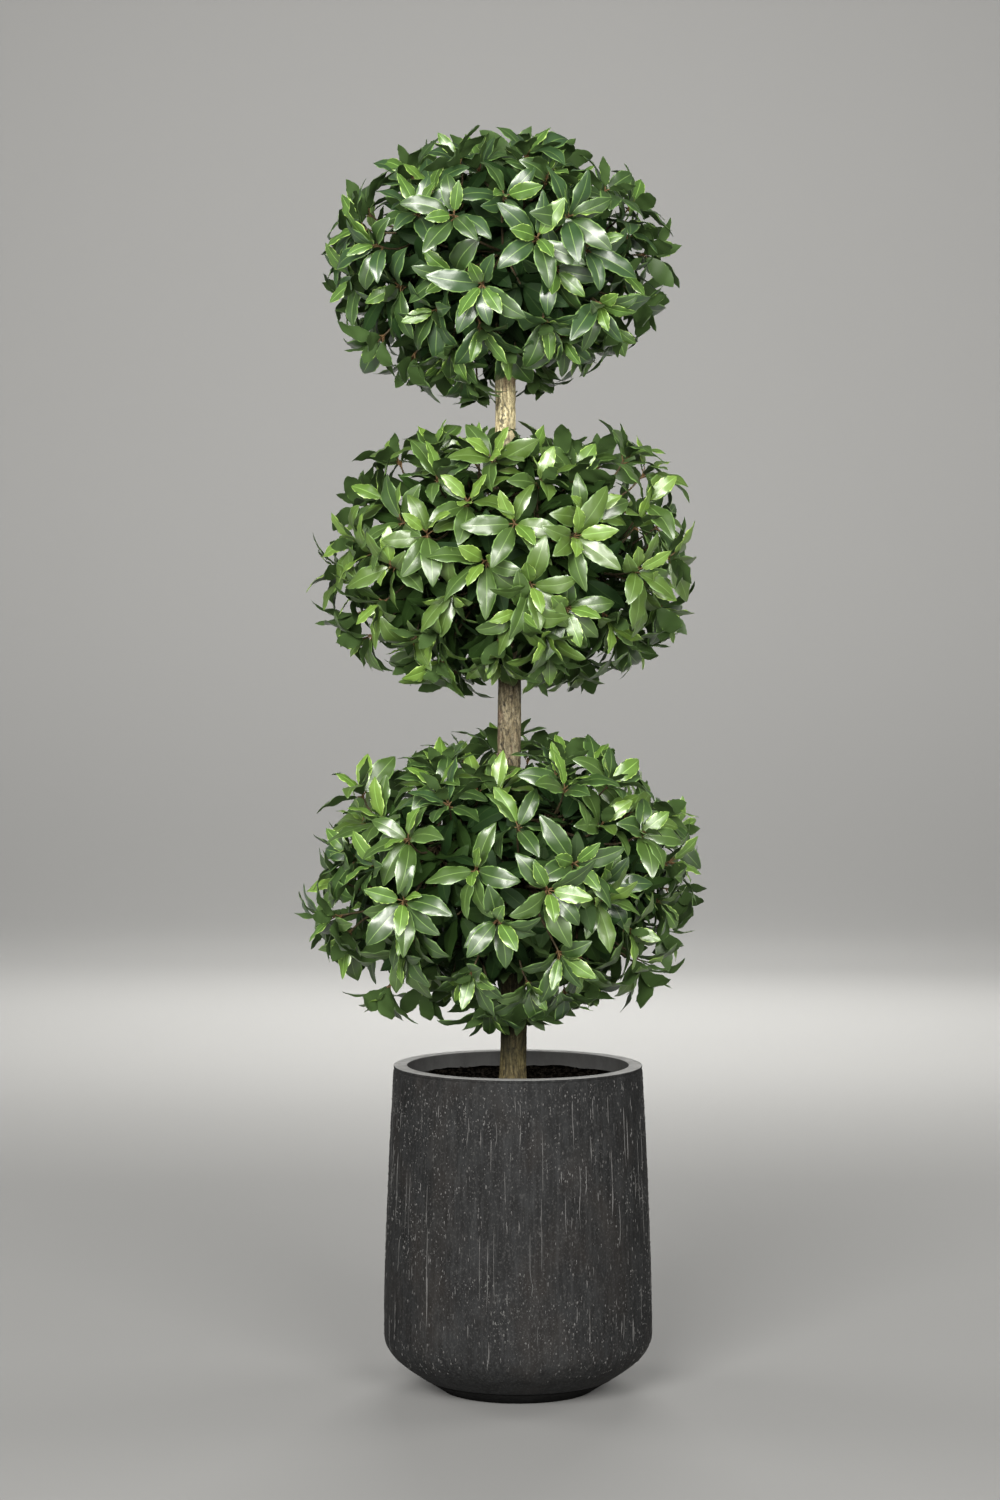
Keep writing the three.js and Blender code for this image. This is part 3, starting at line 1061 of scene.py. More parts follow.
@dataclass
class Compost:
    """The fill of the planter: an uneven top with loose crumbs on it."""

    # The bed: its gap to the wall, and the lumps of its top, which start away from the trunk
    gap: float = 0.00045
    edge_drop: float = 0.004
    lumps: float = 0.0013
    lump_grids: tuple[Grid, Grid] = ((36, 12), (80, 26))
    lump_start: Span = (0.1, 0.3)
    rows: int = 40
    inner_ring: float = 0.02
    sides: int = 160

    # Crumbs, clear of the edge and the trunk: small ones outnumber large ones
    crumbs: int = 1500
    crumb_size: Span = (0.0015, 0.0065)
    crumb_smallness: float = 3
    crumb_least: Axes = (0.7, 0.4, 0.3)
    crumb_most: Axes = (1.4, 0.9, 0.6)
    crumb_stray: float = 0.12
    crumb_tilt: float = 0.4
    crumb_margin: float = 0.008
    trunk_room: float = 0.019
    seed: int = 67

    def __post_init__(self) -> None:
        """Take the heights of the fill's underside and top from the frame."""
        low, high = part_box("potting_compost")
        self.low_z = low.z
        self.top_z = high.z

    def surface(self, angle: np.ndarray, radius: np.ndarray, rim: float) -> np.ndarray:
        """Height of the top at places on it.

        Args:
            angle: angle round the axis.
            radius: distance from the axis.
            rim: radius of the top's edge.

        Returns:
            The heights.
        """
        share = radius / rim
        lumps = layered_noise(self.seed, self.lump_grids, angle / FULL_TURN, share)
        return self.top_z + self.lumps * (lumps - 0.5) * smoothstep(*self.lump_start, share)

    def build(self, planter: Planter, trunk_x: float) -> None:
        """Make the bed and its crumbs.

        Args:
            planter: the planter that holds the fill.
            trunk_x: where the trunk stands.
        """
        inner = planter.cavity()[::-1]
        rim = float(np.interp(self.top_z, inner[:, 1], inner[:, 0])) - self.gap
        wall = inner - (self.gap, 0)
        wall = wall[wall[:, 1] < self.top_z - self.edge_drop]
        angle = FULL_TURN * np.arange(self.sides) / self.sides
        radii = rim * np.linspace(1, self.inner_ring, self.rows)
        top = radii[:, None, None] * circle(self.sides)[None]
        top[..., 2] = self.surface(angle[None], radii[:, None], rim)
        rings = np.concatenate([turned_rings(wall, self.sides), top])
        ends = np.array([(0, 0, self.low_z), (0, 0, self.top_z)])
        finish = CompostFinish("compost_bed_skin").material()
        bed = wrapped(rings, ends, np.zeros(len(rings) + 1, int)).piece("compost_bed", [finish], "compost")
        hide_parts("potting_compost")
        self.build_crumbs(rim, trunk_x)

    def build_crumbs(self, rim: float, trunk_x: float) -> None:
        """Scatter crumbs over the top, clear of the wall and the trunk.

        Args:
            rim: radius of the top's edge.
            trunk_x: where the trunk stands.
        """
        rng = np.random.default_rng(self.seed + 2)
        corners = np.array([(1, 0, 0), (-1, 0, 0), (0, 1, 0), (0, -1, 0), (0, 0, 1), (0, 0, -1)], float)
        faces = np.array(
            [(0, 2, 4), (2, 1, 4), (1, 3, 4), (3, 0, 4), (2, 0, 5), (1, 2, 5), (3, 1, 5), (0, 3, 5)]
        )
        shell = Shell()
        least, most = self.crumb_size
        for _ in range(self.crumbs):
            angle = rng.uniform(0, FULL_TURN)
            radius = (rim - self.crumb_margin) * math.sqrt(rng.random())
            place = np.array([radius * math.cos(angle), radius * math.sin(angle), 0])
            if math.hypot(place[0] - trunk_x, place[1]) < self.trunk_room + most:
                continue
            place[2] = self.surface(np.array(angle), np.array(radius), rim)
            size = least + (most - least) * rng.random() ** self.crumb_smallness
            shape = corners * size * rng.uniform(self.crumb_least, self.crumb_most)
            shape = shape + rng.normal(0, self.crumb_stray * size, corners.shape)
            turned = turned_about(shape, UPWARD, np.full(len(corners), rng.uniform(0, FULL_TURN)))
            tilt = rng.uniform(0, FULL_TURN)
            lean = np.array([math.cos(tilt), math.sin(tilt), 0])
            turned = turned_about(turned, lean, np.full(len(corners), rng.normal(0, self.crumb_tilt)))
            shell.add(turned + place, [faces])
        dark, light = (0.0012, 0.0011, 0.0010), (0.015, 0.0125, 0.0100)
        finish = CompostFinish("compost_crumb_skin", dark, light)
        shell.piece("compost_crumbs", [finish.material()], "compost")


@dataclass
class Trunk:
    """The upright trunk: a flat cut at the compost, a small root flare, a slight lean and fibrous bark."""

    # Line, taper and flare
    base_x: float = -0.007
    lean: float = -0.0125
    sway: float = 0.0022
    sway_pitch: float = 0.410
    sway_depth_pitch: float = 0.680
    base_radius: float = 0.017
    tip_radius: float = 0.013
    flare: float = 0.0014
    flare_height: float = 0.014

    # Bark: fibres and finer threads, furrows between strips of it, and lumps
    fibre_depth: float = 0.00055
    fibre_share: float = 0.7
    thread_share: float = 0.5
    furrow_depth: float = 0.0009
    furrow_start: float = 0.72
    lump_depth: float = 0.0009

    # How far the fibres wander round the trunk, in turns, and the steps of each pattern round and up
    drift: float = 0.035
    drift_grid: Grid = (4, 9)
    fibre_grid: Grid = (34, 40)
    thread_grid: Grid = (42, 110)
    furrow_grid: Grid = (13, 22)
    lump_grid: Grid = (5, 16)

    # Mesh
    sides: int = 84
    rows: int = 460
    seed: int = 83

    def __post_init__(self) -> None:
        """Take the ground and the tip from the frame."""
        low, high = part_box("trunk")
        self.ground = low.z
        self.tip = high.z

    def centre(self, z: np.ndarray) -> np.ndarray:
        """Middle of the trunk.

        Args:
            z: heights.

        Returns:
            Its x and y at each height.
        """
        up = z - self.ground
        x = self.base_x + self.lean * up + self.sway * np.sin(FULL_TURN * up / self.sway_pitch)
        return np.stack([x, self.sway * np.sin(FULL_TURN * up / self.sway_depth_pitch)], axis=-1)

    def radius(self, z: np.ndarray) -> np.ndarray:
        """Radius of the trunk.

        Args:
            z: heights.

        Returns:
            Its radius at each height.
        """
        up = z - self.ground
        share = up / (self.tip - self.ground)
        taper = self.base_radius + (self.tip_radius - self.base_radius) * share
        return taper + self.flare * np.exp(-up / self.flare_height)

    def build(self, shade_top: float) -> None:
        """Make the trunk with the relief of its bark.

        Args:
            shade_top: height up to which the bark's painted shade lightens.
        """
        share = np.linspace(0, 1, self.rows + 1)[:, None]
        z = self.ground + (self.tip - self.ground) * share[:, 0]
        turn = np.arange(self.sides)[None] / self.sides
        drift = self.drift * LatticeNoise(self.seed, *self.drift_grid).at(turn, share)
        fibres = LatticeNoise(self.seed + 1, *self.fibre_grid).at(turn + drift, share)
        threads = LatticeNoise(self.seed + 2, *self.thread_grid).at(turn + drift, share)
        furrows = 1 - np.abs(LatticeNoise(self.seed + 3, *self.furrow_grid).at(turn + 2 * drift, share))
        lumps = LatticeNoise(self.seed + 4, *self.lump_grid).at(turn, share)
        relief = (
            self.fibre_depth * (self.fibre_share * fibres + self.thread_share * threads)
            - self.furrow_depth * np.clip(furrows - self.furrow_start, 0, 1) / (1 - self.furrow_start)
            + self.lump_depth * lumps
        )
        radius = self.radius(z)[:, None] + relief
        rings = radius[..., None] * circle(self.sides)[None]
        rings[..., :2] += self.centre(z)[:, None]
        rings[..., 2] = z[:, None]
        ends = np.array([(*self.centre(self.ground), self.ground), (*self.centre(self.tip), self.tip)])
        finish = BarkFinish("trunk_bark", self.ground, shade_top).material()
        shell = wrapped(rings, ends, np.zeros(len(rings) + 1, int))
        made = shell.piece("trunk_with_bark", [finish], "bark")
        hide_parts("trunk")


class LeafAge(Enum):
    """The leaves of a whorl by age, and the shaded ones inside a ball."""

    YOUNG = "young"
    MATURE = "mature"
    INNER = "inner"


class LeafSkin(Enum):
    """The surfaces of a leaf, by how far their finish lies after the blades' finishes."""

    BLADE = -1
    MARGIN = 0
    MIDRIB = 1
    UNDERSIDE = 2


@dataclass(frozen=True)
class LeafHabit:
    """How leaves of one age are shaped, coloured and set on a twig.

    Attributes:
        age: their age.
        count: fewest and most leaves on a whorl.
        length: shortest and longest, in metres.
        width_share: narrowest and widest, as a share of the length.
        spread: least and greatest angle from the twig's line.
        reaching: how strongly leaves are drawn to the ball's outside.
        droop: least and greatest fall of the tip under the leaf's own weight, as a share of its length.
        roll: how far a leaf is usually turned about its own length.
        arch: least and greatest bend from root to tip.
        fold: least and greatest lift of the two halves.
        setback: how far behind the twig's end they stand.
        rows: steps along the blade.
        columns: places across the blade, from -1 at one margin to 1 at the other.
        teeth: depth of the margin's teeth, as a share of the half width.
        blades: finishes of the blade, of which each leaf gets one.
        margin: finish of the margin.
        midrib: finish of the midrib.
        underside: finish of the underside.
    """

    age: LeafAge
    count: tuple[int, int]
    length: Span
    width_share: Span
    spread: Span
    reaching: float
    droop: Span
    roll: float
    arch: Span
    fold: Span
    setback: Span
    rows: int
    columns: tuple[float, ...]
    teeth: float
    blades: tuple[LeafFinish, ...]
    margin: LeafFinish
    midrib: LeafFinish
    underside: LeafFinish

    def finishes(self) -> list[LeafFinish]:
        """All the finishes, in the order that the faces number them."""
        return [*self.blades, self.margin, self.midrib, self.underside]


FINE_COLUMNS = (-1, -0.87, -0.46, -0.045, 0.045, 0.46, 0.87, 1)
PLAIN_COLUMNS = (-1, -0.045, 0.045, 1)

# Points at which a leaf is kept clear of its neighbours: shares of its length and of its sampled width
SAMPLES_ALONG = np.array([0.3, 0.3, 0.55, 0.55, 0.55, 0.8, 0.8, 0.8, 1.0])
SAMPLES_ACROSS = np.array([-0.9, 0.9, -1, 0, 1, -0.7, 0, 0.7, 0])

UNDERSIDE = LeafFinish("leaf_underside", (0.040, 0.074, 0.020), roughness=0.5, shine=0.4, coat=0.0)

MATURE_LEAVES = LeafHabit(
    age=LeafAge.MATURE,
    count=(5, 6),
    length=(0.056, 0.076),
    width_share=(0.36, 0.43),
    spread=(math.radians(44), math.radians(84)),
    reaching=0.03,
    droop=(0.0, 0.8),
    roll=0.42,
    arch=(0.60, 1.60),
    fold=(0.18, 0.52),
    setback=(0.003, 0.010),
    rows=16,
    columns=FINE_COLUMNS,
    teeth=0.05,
    blades=(
        LeafFinish("leaf_cool_green", (0.023, 0.054, 0.016)),
        LeafFinish("leaf_deep_green", (0.025, 0.055, 0.011)),
        LeafFinish("leaf_forest_green", (0.037, 0.073, 0.012)),
        LeafFinish("leaf_moss_green", (0.055, 0.099, 0.014)),
    ),
    # The margin's pale green is partly the leaf's own pale edge and partly painted glint along its teeth
    margin=LeafFinish("leaf_mature_pale_margin_and_glint", (0.098, 0.176, 0.042)),
    midrib=LeafFinish("leaf_mature_midrib", (0.105, 0.175, 0.045)),
    underside=UNDERSIDE,
)
YOUNG_LEAVES = LeafHabit(
    age=LeafAge.YOUNG,
    count=(2, 3),
    length=(0.039, 0.058),
    width_share=(0.39, 0.46),
    spread=(math.radians(22), math.radians(56)),
    reaching=0.02,
    droop=(0.0, 0.25),
    roll=0.5,
    arch=(0.20, 0.95),
    fold=(0.18, 0.50),
    setback=(0.0, 0.002),
    rows=14,
    columns=FINE_COLUMNS,
    teeth=0.09,
    blades=(
        LeafFinish("leaf_grass_green", (0.054, 0.113, 0.016)),
        LeafFinish("leaf_fresh_green", (0.075, 0.144, 0.019)),
        LeafFinish("leaf_lime_green", (0.103, 0.179, 0.024)),
    ),
    margin=LeafFinish("leaf_young_margin", (0.270, 0.400, 0.090)),
    midrib=LeafFinish("leaf_young_midrib", (0.190, 0.330, 0.070)),
    underside=UNDERSIDE,
)
INNER_LEAVES = LeafHabit(
    age=LeafAge.INNER,
    count=(5, 6),
    length=(0.056, 0.070),
    width_share=(0.34, 0.41),
    spread=(math.radians(50), math.radians(90)),
    reaching=0.0,
    droop=(0.0, 0.4),
    roll=0.4,
    arch=(0.30, 0.90),
    fold=(0.10, 0.35),
    setback=(0.0, 0.010),
    rows=7,
    columns=PLAIN_COLUMNS,
    teeth=0.0,
    # Greens darker than the outer leaves': painted shade inside the ball
    blades=(
        dull_leaf("leaf_shaded_green", (0.011, 0.028, 0.007)),
        dull_leaf("leaf_shaded_moss", (0.016, 0.036, 0.007)),
    ),
    margin=dull_leaf("leaf_shaded_margin", (0.014, 0.033, 0.007)),
    midrib=dull_leaf("leaf_shaded_midrib", (0.024, 0.048, 0.012)),
    underside=UNDERSIDE,
)


@dataclass(frozen=True)
class Tier:
    """A shell of whorls inside a ball.

    Attributes:
        depth: from the reach in to the whorls.
        stray: how far single whorls lie deeper or shallower.
        share: number of whorls, as a share of the ball's outer whorls.
        habits: the leaves on each whorl, the oldest first.
        petioles: whether the leaves' stalks are made.
        within: how far out its leaves may lie, as a share of the outer leaves' limit.
    """

    depth: float
    stray: float
    share: float
    habits: tuple[LeafHabit, ...]
    petioles: bool
    within: float


TIERS = (
    Tier(
        depth=0.044, stray=0.009, share=1.0, habits=(MATURE_LEAVES, YOUNG_LEAVES), petioles=True, within=1.0
    ),
    Tier(depth=0.092, stray=0.008, share=0.85, habits=(INNER_LEAVES,), petioles=False, within=0.86),
    Tier(depth=0.130, stray=0.010, share=0.55, habits=(INNER_LEAVES,), petioles=False, within=0.74),
)


@dataclass
class PlacedLeaf:
    """One leaf in its place.

    Attributes:
        root: where the blade starts.
        along: direction from root to tip.
        side: direction across the blade.
        up: direction out of its upper face.
        length: its length.
        width: its greatest width.
        arch: bend from root to tip, in radians.
        fold: lift of the two halves, in radians.
        twist: turn about its own length from root to tip, in radians.
        wave: where the waves of its margins start, in radians.
        blade: number of its blade's finish.
    """

    root: np.ndarray
    along: np.ndarray
    side: np.ndarray
    up: np.ndarray
    length: float
    width: float
    arch: float
    fold: float
    twist: float
    wave: float
    blade: int


@dataclass
class LeafMaker:
    """Turns placed leaves of one habit into a joined mesh of thin closed blades."""

    habit: LeafHabit

    # Outline: where it is widest, how fast it narrows to both ends, and its drawn-out tip
    widest: float = 0.48
    root_power: float = 0.74
    tip_power: float = 0.8
    root_width: float = 0.05
    tip_width: float = 0.012
    tip_pinch: float = 0.26
    pinch_start: float = 0.62

    # How evenly the rows lie, how late the blade bends, and the midrib's thickness for its length
    even_rows: float = 0.65
    bend_power: float = 1.3
    thickness_share: float = 0.014
    root_thickness: float = 1.1
    thickness_loss: float = 0.7

    # Relief, as shares of the half width: margins that curl down, furrows at the side veins, and waves
    curl: float = 0.33
    vein_depth: float = 0.140
    vein_pairs: float = 4.0
    vein_slant: float = 1.2
    wave_depth: float = 0.15
    waves: float = 2.1

    def outline(self, along: np.ndarray) -> np.ndarray:
        """Half width of the blade.

        Args:
            along: places from 0 at the root to 1 at the tip.

        Returns:
            The half width at each place, as a share of the widest.
        """
        shape = np.clip(along, 0, 1) ** self.root_power * np.clip(1 - along, 0, 1) ** self.tip_power
        greatest = self.widest**self.root_power * (1 - self.widest) ** self.tip_power
        full = shape / greatest * (1 - self.tip_pinch * smoothstep(self.pinch_start, 1, along))
        return np.maximum(full, self.root_width * (1 - along) + self.tip_width * along)

    def points(self, leaves: list[PlacedLeaf]) -> np.ndarray:
        """Corner places of all the leaves.

        Args:
            leaves: the placed leaves.

        Returns:
            For each leaf, the upper face row by row and then the underside's midrib.
        """
        def each(name: str) -> np.ndarray:
            """One value of every leaf, ready to spread over rows."""
            return np.array([getattr(leaf, name) for leaf in leaves])[:, None]

        even = np.linspace(0, 1, self.habit.rows + 1)
        along = self.even_rows * even + (1 - self.even_rows) * (0.5 - 0.5 * np.cos(math.pi * even))
        length, half = each("length"), 0.5 * each("width") * self.outline(along)
        bend = each("arch") * along**self.bend_power
        stretch = np.diff(along) * length
        middle = 0.5 * (bend[:, 1:] + bend[:, :-1])
        zero = np.zeros((len(leaves), 1))
        forward = np.concatenate([zero, np.cumsum(stretch * np.cos(middle), axis=1)], axis=1)
        drop = np.concatenate([zero, np.cumsum(stretch * np.sin(middle), axis=1)], axis=1)
        root, ahead, side, up = (each(name) for name in ("root", "along", "side", "up"))
        spine = root + forward[..., None] * ahead - drop[..., None] * up
        lift = np.sin(bend)[..., None] * ahead + np.cos(bend)[..., None] * up
        twist = (each("twist") * along)[..., None]
        across = np.cos(twist) * side + np.sin(twist) * lift
        lift = np.cos(twist) * lift - np.sin(twist) * side
        columns = np.array(self.habit.columns, float)
        reach = np.abs(columns)
        at_margin = reach == 1
        tooth = np.where(np.arange(len(along)) % 2, self.habit.teeth, 0.0)
        tooth[[0, -1]] = 0
        width = half[..., None] * columns * (1 - tooth[:, None] * at_margin)
        rise = half[..., None] * (np.sin(each("fold"))[..., None] * reach - self.curl * reach**2)
        vein_places = self.vein_pairs * along[:, None] - self.vein_slant * reach
        veins = np.sin(FULL_TURN * vein_places) * reach * (1 - reach**4)
        rise = rise + self.vein_depth * half[..., None] * veins
        waves = np.sin(FULL_TURN * self.waves * along[None] + each("wave"))[..., None]
        rise = rise + self.wave_depth * half[..., None] * waves * np.sign(columns) * reach**2
        upper = spine[:, :, None] + width[..., None] * across[:, :, None]
        upper = upper + rise[..., None] * lift[:, :, None]
        thickness = self.thickness_share * length * (self.root_thickness - self.thickness_loss * along)
        under = spine - thickness[..., None] * lift
        return np.concatenate([upper.reshape(len(leaves), -1, 3), under], axis=1)

    def faces(self) -> tuple[list[np.ndarray], list[np.ndarray]]:
        """The faces of one leaf.

        Returns:
            Blocks of quads and triangles, and the leaf's surface that each face belongs to.
        """
        rows, wide = self.habit.rows, len(self.habit.columns)
        row = np.arange(rows)[:, None] * wide
        strip = np.arange(wide - 1)[None]
        near, far = row + strip, row + wide + strip
        upper = np.stack([near, far, far + 1, near + 1], axis=-1)
        rib = (rows + 1) * wide + np.arange(rows)
        edge = row[:, 0]
        left = np.stack([edge, rib, rib + 1, edge + wide], axis=-1)
        right = np.stack([rib, edge + wide - 1, edge + 2 * wide - 1, rib + 1], axis=-1)
        first, last = (rows + 1) * wide, (rows + 1) * wide + rows
        end = rows * wide
        step = strip[0]
        root_cap = np.stack([np.full(wide - 1, first), step, step + 1], axis=-1)
        tip_cap = np.stack([np.full(wide - 1, last), end + step + 1, end + step], axis=-1)
        skins = np.full(wide - 1, LeafSkin.BLADE.value)
        skins[(wide - 1) // 2] = LeafSkin.MIDRIB.value
        if wide > len(PLAIN_COLUMNS):
            skins[[0, -1]] = LeafSkin.MARGIN.value
        quads = np.concatenate([upper.reshape(-1, 4), left, right])
        quad_skins = np.concatenate([np.tile(skins, rows), np.full(2 * rows, LeafSkin.UNDERSIDE.value)])
        caps = np.concatenate([root_cap, tip_cap])
        return [quads, caps], [quad_skins, np.full(len(caps), LeafSkin.MIDRIB.value)]

    def build(self, name: str, leaves: list[PlacedLeaf]) -> bpy.types.Object:
        """Join the leaves into one piece.

        Args:
            name: the piece's name.
            leaves: the placed leaves.

        Returns:
            The piece.
        """
        points = self.points(leaves)
        count, size = points.shape[:2]
        blocks, skins = self.faces()
        offsets = (np.arange(count) * size)[:, None, None]
        blades = np.array([leaf.blade for leaf in leaves])[:, None]
        faces = [(block[None] + offsets).reshape(-1, block.shape[1]) for block in blocks]
        after_blades = len(self.habit.blades)
        finishes = [
            np.where(skin == LeafSkin.BLADE.value, blades, after_blades + skin).ravel() for skin in skins
        ]
        shell = Shell()
        shell.add(points, faces, finishes)
        edge = np.zeros(size, bool)
        wide = len(self.habit.columns)
        edge[: (self.habit.rows + 1) * wide: wide] = True
        edge[wide - 1: (self.habit.rows + 1) * wide: wide] = True
        materials = [finish.material() for finish in self.habit.finishes()]
        return shell.piece(name, materials, "leaves", sharp=np.tile(edge, count))


class Wood(Enum):
    """The woody pieces of a ball."""

    BOUGHS = "boughs"
    TWIGS = "twigs"
    PETIOLES = "petioles"


BARKS = {
    Wood.BOUGHS: TwigFinish("bough_bark", (0.040, 0.030, 0.018), (0.105, 0.080, 0.048)),
    Wood.TWIGS: TwigFinish("twig_bark", (0.026, 0.020, 0.010), (0.062, 0.046, 0.022)),
    Wood.PETIOLES: TwigFinish("petiole_skin", (0.070, 0.036, 0.015), (0.130, 0.082, 0.034)),
}

# A distance that counts as far from the trunk, and the score of a leaf that finds no place
FAR = 1.0
NO_PLACE = -1


@dataclass
class FoliageBall:
    """One clipped ball: boughs from the trunk, twigs to every whorl and leaves within the ball's reach.

    Attributes:
        name: the ball's place on the trunk.
        x: sideways place of its middle.
        z: height of its middle.
        reach: how far out the furthest leaf tips lie.
        half_height: how far up and down they lie.
        whorls: number of whorls on its outside.
        seed: start of its stream of random numbers.
        squareness: power of its outline, which is an ellipse at 2 and squarer above.
        raggedness: how much nearer the innermost whorls of its outside lie, as a share of the reach.
        overreach: how far the furthest leaf tips may lie past the reach, as a share of it.
        painted_light_shift: how far its sprays are dealt lighter leaves as painted light, and below 0
            darker leaves as painted shade.
    """

    name: str
    x: float
    z: float
    reach: float
    half_height: float
    whorls: int
    seed: int
    squareness: float = 2.3
    raggedness: float = 0.16
    overreach: float = 0.045
    painted_light_shift: float = 0.0

    # Directions of the whorls, drawn to the poles, where leaves spread less, and how twigs rise and stray
    polar_pull: float = 0.19
    polar_rise: float = 0.42
    scatter: float = 0.1
    rise: float = 0.18
    axis_stray: float = 0.16

    # Boughs: how far out they fork, where they leave the trunk, and how they bend on the way
    boughs: int = 14
    bough_share: float = 0.5
    bough_slope: float = 0.45
    bough_bend: Span = (0.55, 0.75)
    lowest_bough: float = 0.75
    tip_room: float = 0.03
    fork_room: float = 0.035
    bough_radius: Span = (0.0062, 0.0034)
    bough_sides: int = 7
    bough_steps: int = 8

    # Twigs, from a fork to each whorl
    twig_bend: float = 0.45
    twig_radius: Span = (0.0020, 0.0011)
    twig_sides: int = 5
    twig_steps: int = 6

    # Leaf stalks: how they follow the twig, and how far they run into it and into the blade
    petiole: Span = (0.005, 0.008)
    petiole_bend: float = 0.5
    petiole_rise: float = 0.6
    petiole_overlap: Span = (0.001, 0.002)
    petiole_radius: float = 0.0008
    petiole_taper: tuple[float, ...] = (1.5, 1.1, 0.95, 0.75)
    petiole_sides: int = 5

    # Room round the trunk and between leaves, as it is sampled at points on each leaf
    trunk_room: float = 0.004
    whorl_rooms: float = 3
    clearance: float = 0.009
    least_room: float = 0.0015
    neighbourhood: float = 0.16
    sag: float = 0.45
    sample_width: float = 0.42

    # Trials for each leaf, of which the last is the shortest, and how leaves stray in turn, twist and shade
    trials: int = 24
    shortest: float = 0.8
    trim_cost: float = 0.010
    turn_stray: float = 0.16
    leaf_stray: float = 0.12
    twist: float = 0.22
    spray_share: float = 0.65

    def __post_init__(self) -> None:
        """Prepare the random stream, the reach and the lists that growing fills."""
        self.random = np.random.default_rng(self.seed)
        self.middle = np.array([self.x, 0, self.z])
        self.extent = np.array([self.reach, self.reach, self.half_height])
        self.forks: list[np.ndarray] = []
        self.leaves: dict[LeafAge, list[PlacedLeaf]] = {age: [] for age in LeafAge}
        self.taken: list[tuple[np.ndarray, np.ndarray]] = []
        self.wood = {kind: Shell() for kind in Wood}

    def directions(self, count: int) -> np.ndarray:
        """Even directions round the ball, each strayed a little.

        Args:
            count: how many there are.

        Returns:
            The unit directions.
        """
        order = np.arange(count)
        z = 1 - 2 * (order + 0.5) / count
        z = z * (1 + self.polar_pull * (1 - z * z))
        around = np.sqrt(1 - z * z)
        angle = order * GOLDEN_ANGLE + self.random.uniform(0, FULL_TURN)
        even = np.stack([around * np.cos(angle), around * np.sin(angle), z], axis=-1)
        return unit(even + self.random.uniform(-self.scatter, self.scatter, (count, 3)))

    def reach_share(self, points: np.ndarray) -> np.ndarray:
        """How far out points lie.

        Args:
            points: the points.

        Returns:
            For each, a share from 0 in the ball's middle to 1 at its full reach.
        """
        out = np.abs(points - self.middle) / self.extent
        level = np.hypot(out[..., 0], out[..., 1])
        power = self.squareness
        return (level**power + out[..., 2] ** power) ** (1 / power)

    def off_trunk(self, points: np.ndarray, trunk: Trunk) -> np.ndarray:
        """Distance of points from the trunk's surface.

        Args:
            points: the points.
            trunk: the trunk.

        Returns:
            The distances, with a large one above the trunk's tip.
        """
        z = points[..., 2]
        apart = np.linalg.norm(points[..., :2] - trunk.centre(z), axis=-1) - trunk.radius(z)
        return np.where(z > trunk.tip + self.trunk_room, FAR, apart)

    def grow_boughs(self, trunk: Trunk) -> None:
        """Grow the boughs to the forks where their twigs start.

        Args:
            trunk: the trunk that they grow on.
        """
        for direction in self.directions(self.boughs):
            fork = self.middle + direction * self.extent * self.bough_share
            centre = np.array([*trunk.centre(fork[2]), fork[2]])
            outward = fork - centre
            outward[2] = 0
            apart = np.linalg.norm(outward)
            least = trunk.base_radius + self.fork_room
            if apart < least:
                fork = fork + outward / apart * (least - apart)
                apart = least
            lowest = self.z - self.lowest_bough * self.half_height
            foot_z = np.clip(fork[2] - self.bough_slope * apart, lowest, trunk.tip - self.tip_room)
            foot = np.array([*trunk.centre(foot_z), foot_z])
            out, up = self.bough_bend
            bend = foot + (out, out, up) * (fork - foot)
            path = bezier(np.stack([foot, bend, fork]), self.bough_steps)
            radii = np.linspace(*self.bough_radius, len(path))
            self.wood[Wood.BOUGHS].add(*limb(path, radii, self.bough_sides))
            self.forks.append(fork)

    def grow_twig(self, tip: np.ndarray, axis: np.ndarray) -> None:
        """Grow a twig from the nearest fork to a whorl.

        Args:
            tip: where the whorl is.
            axis: the direction in which the twig ends.
        """
        forks = np.array(self.forks)
        fork = forks[np.argmin(np.linalg.norm(forks - tip, axis=1))]
        distance = np.linalg.norm(tip - fork)
        path = bezier(np.stack([fork, tip - self.twig_bend * distance * axis, tip]), self.twig_steps)
        self.wood[Wood.TWIGS].add(*limb(path, np.linspace(*self.twig_radius, len(path)), self.twig_sides))

    def grow_petiole(self, foot: np.ndarray, axis: np.ndarray, leaf: PlacedLeaf, stalk: float) -> None:
        """Grow the stalk of a leaf, which leaves the twig along it and turns to the blade.

        Args:
            foot: where it starts on the twig.
            axis: the twig's direction.
            leaf: the leaf that it carries.
            stalk: its length.
        """
        into_twig, into_blade = self.petiole_overlap
        start = foot - into_twig * axis
        bend = foot + self.petiole_bend * stalk * unit(leaf.along + self.petiole_rise * axis)
        end = leaf.root + into_blade * leaf.along
        radii = self.petiole_radius * np.array(self.petiole_taper)
        path = bezier(np.stack([start, bend, end]), len(radii) - 1)
        self.wood[Wood.PETIOLES].add(*limb(path, radii, self.petiole_sides))

    def room_left(self, points: np.ndarray, near: np.ndarray) -> np.ndarray:
        """Room that trials of a leaf leave to the leaves round about.

        Args:
            points: trial by trial, points on the leaf.
            near: points on the leaves round about.

        Returns:
            The room at each trial, up to the clearance.
        """
        if not len(near):
            return np.full(len(points), self.clearance)
        flat = points.reshape(-1, 3)
        squared = (flat**2).sum(1)[:, None] + (near**2).sum(1)[None] - 2 * flat @ near.T
        closest = np.sqrt(np.clip(squared.min(axis=1), 0, None)).reshape(len(points), -1).min(axis=1)
        return np.minimum(closest, self.clearance)

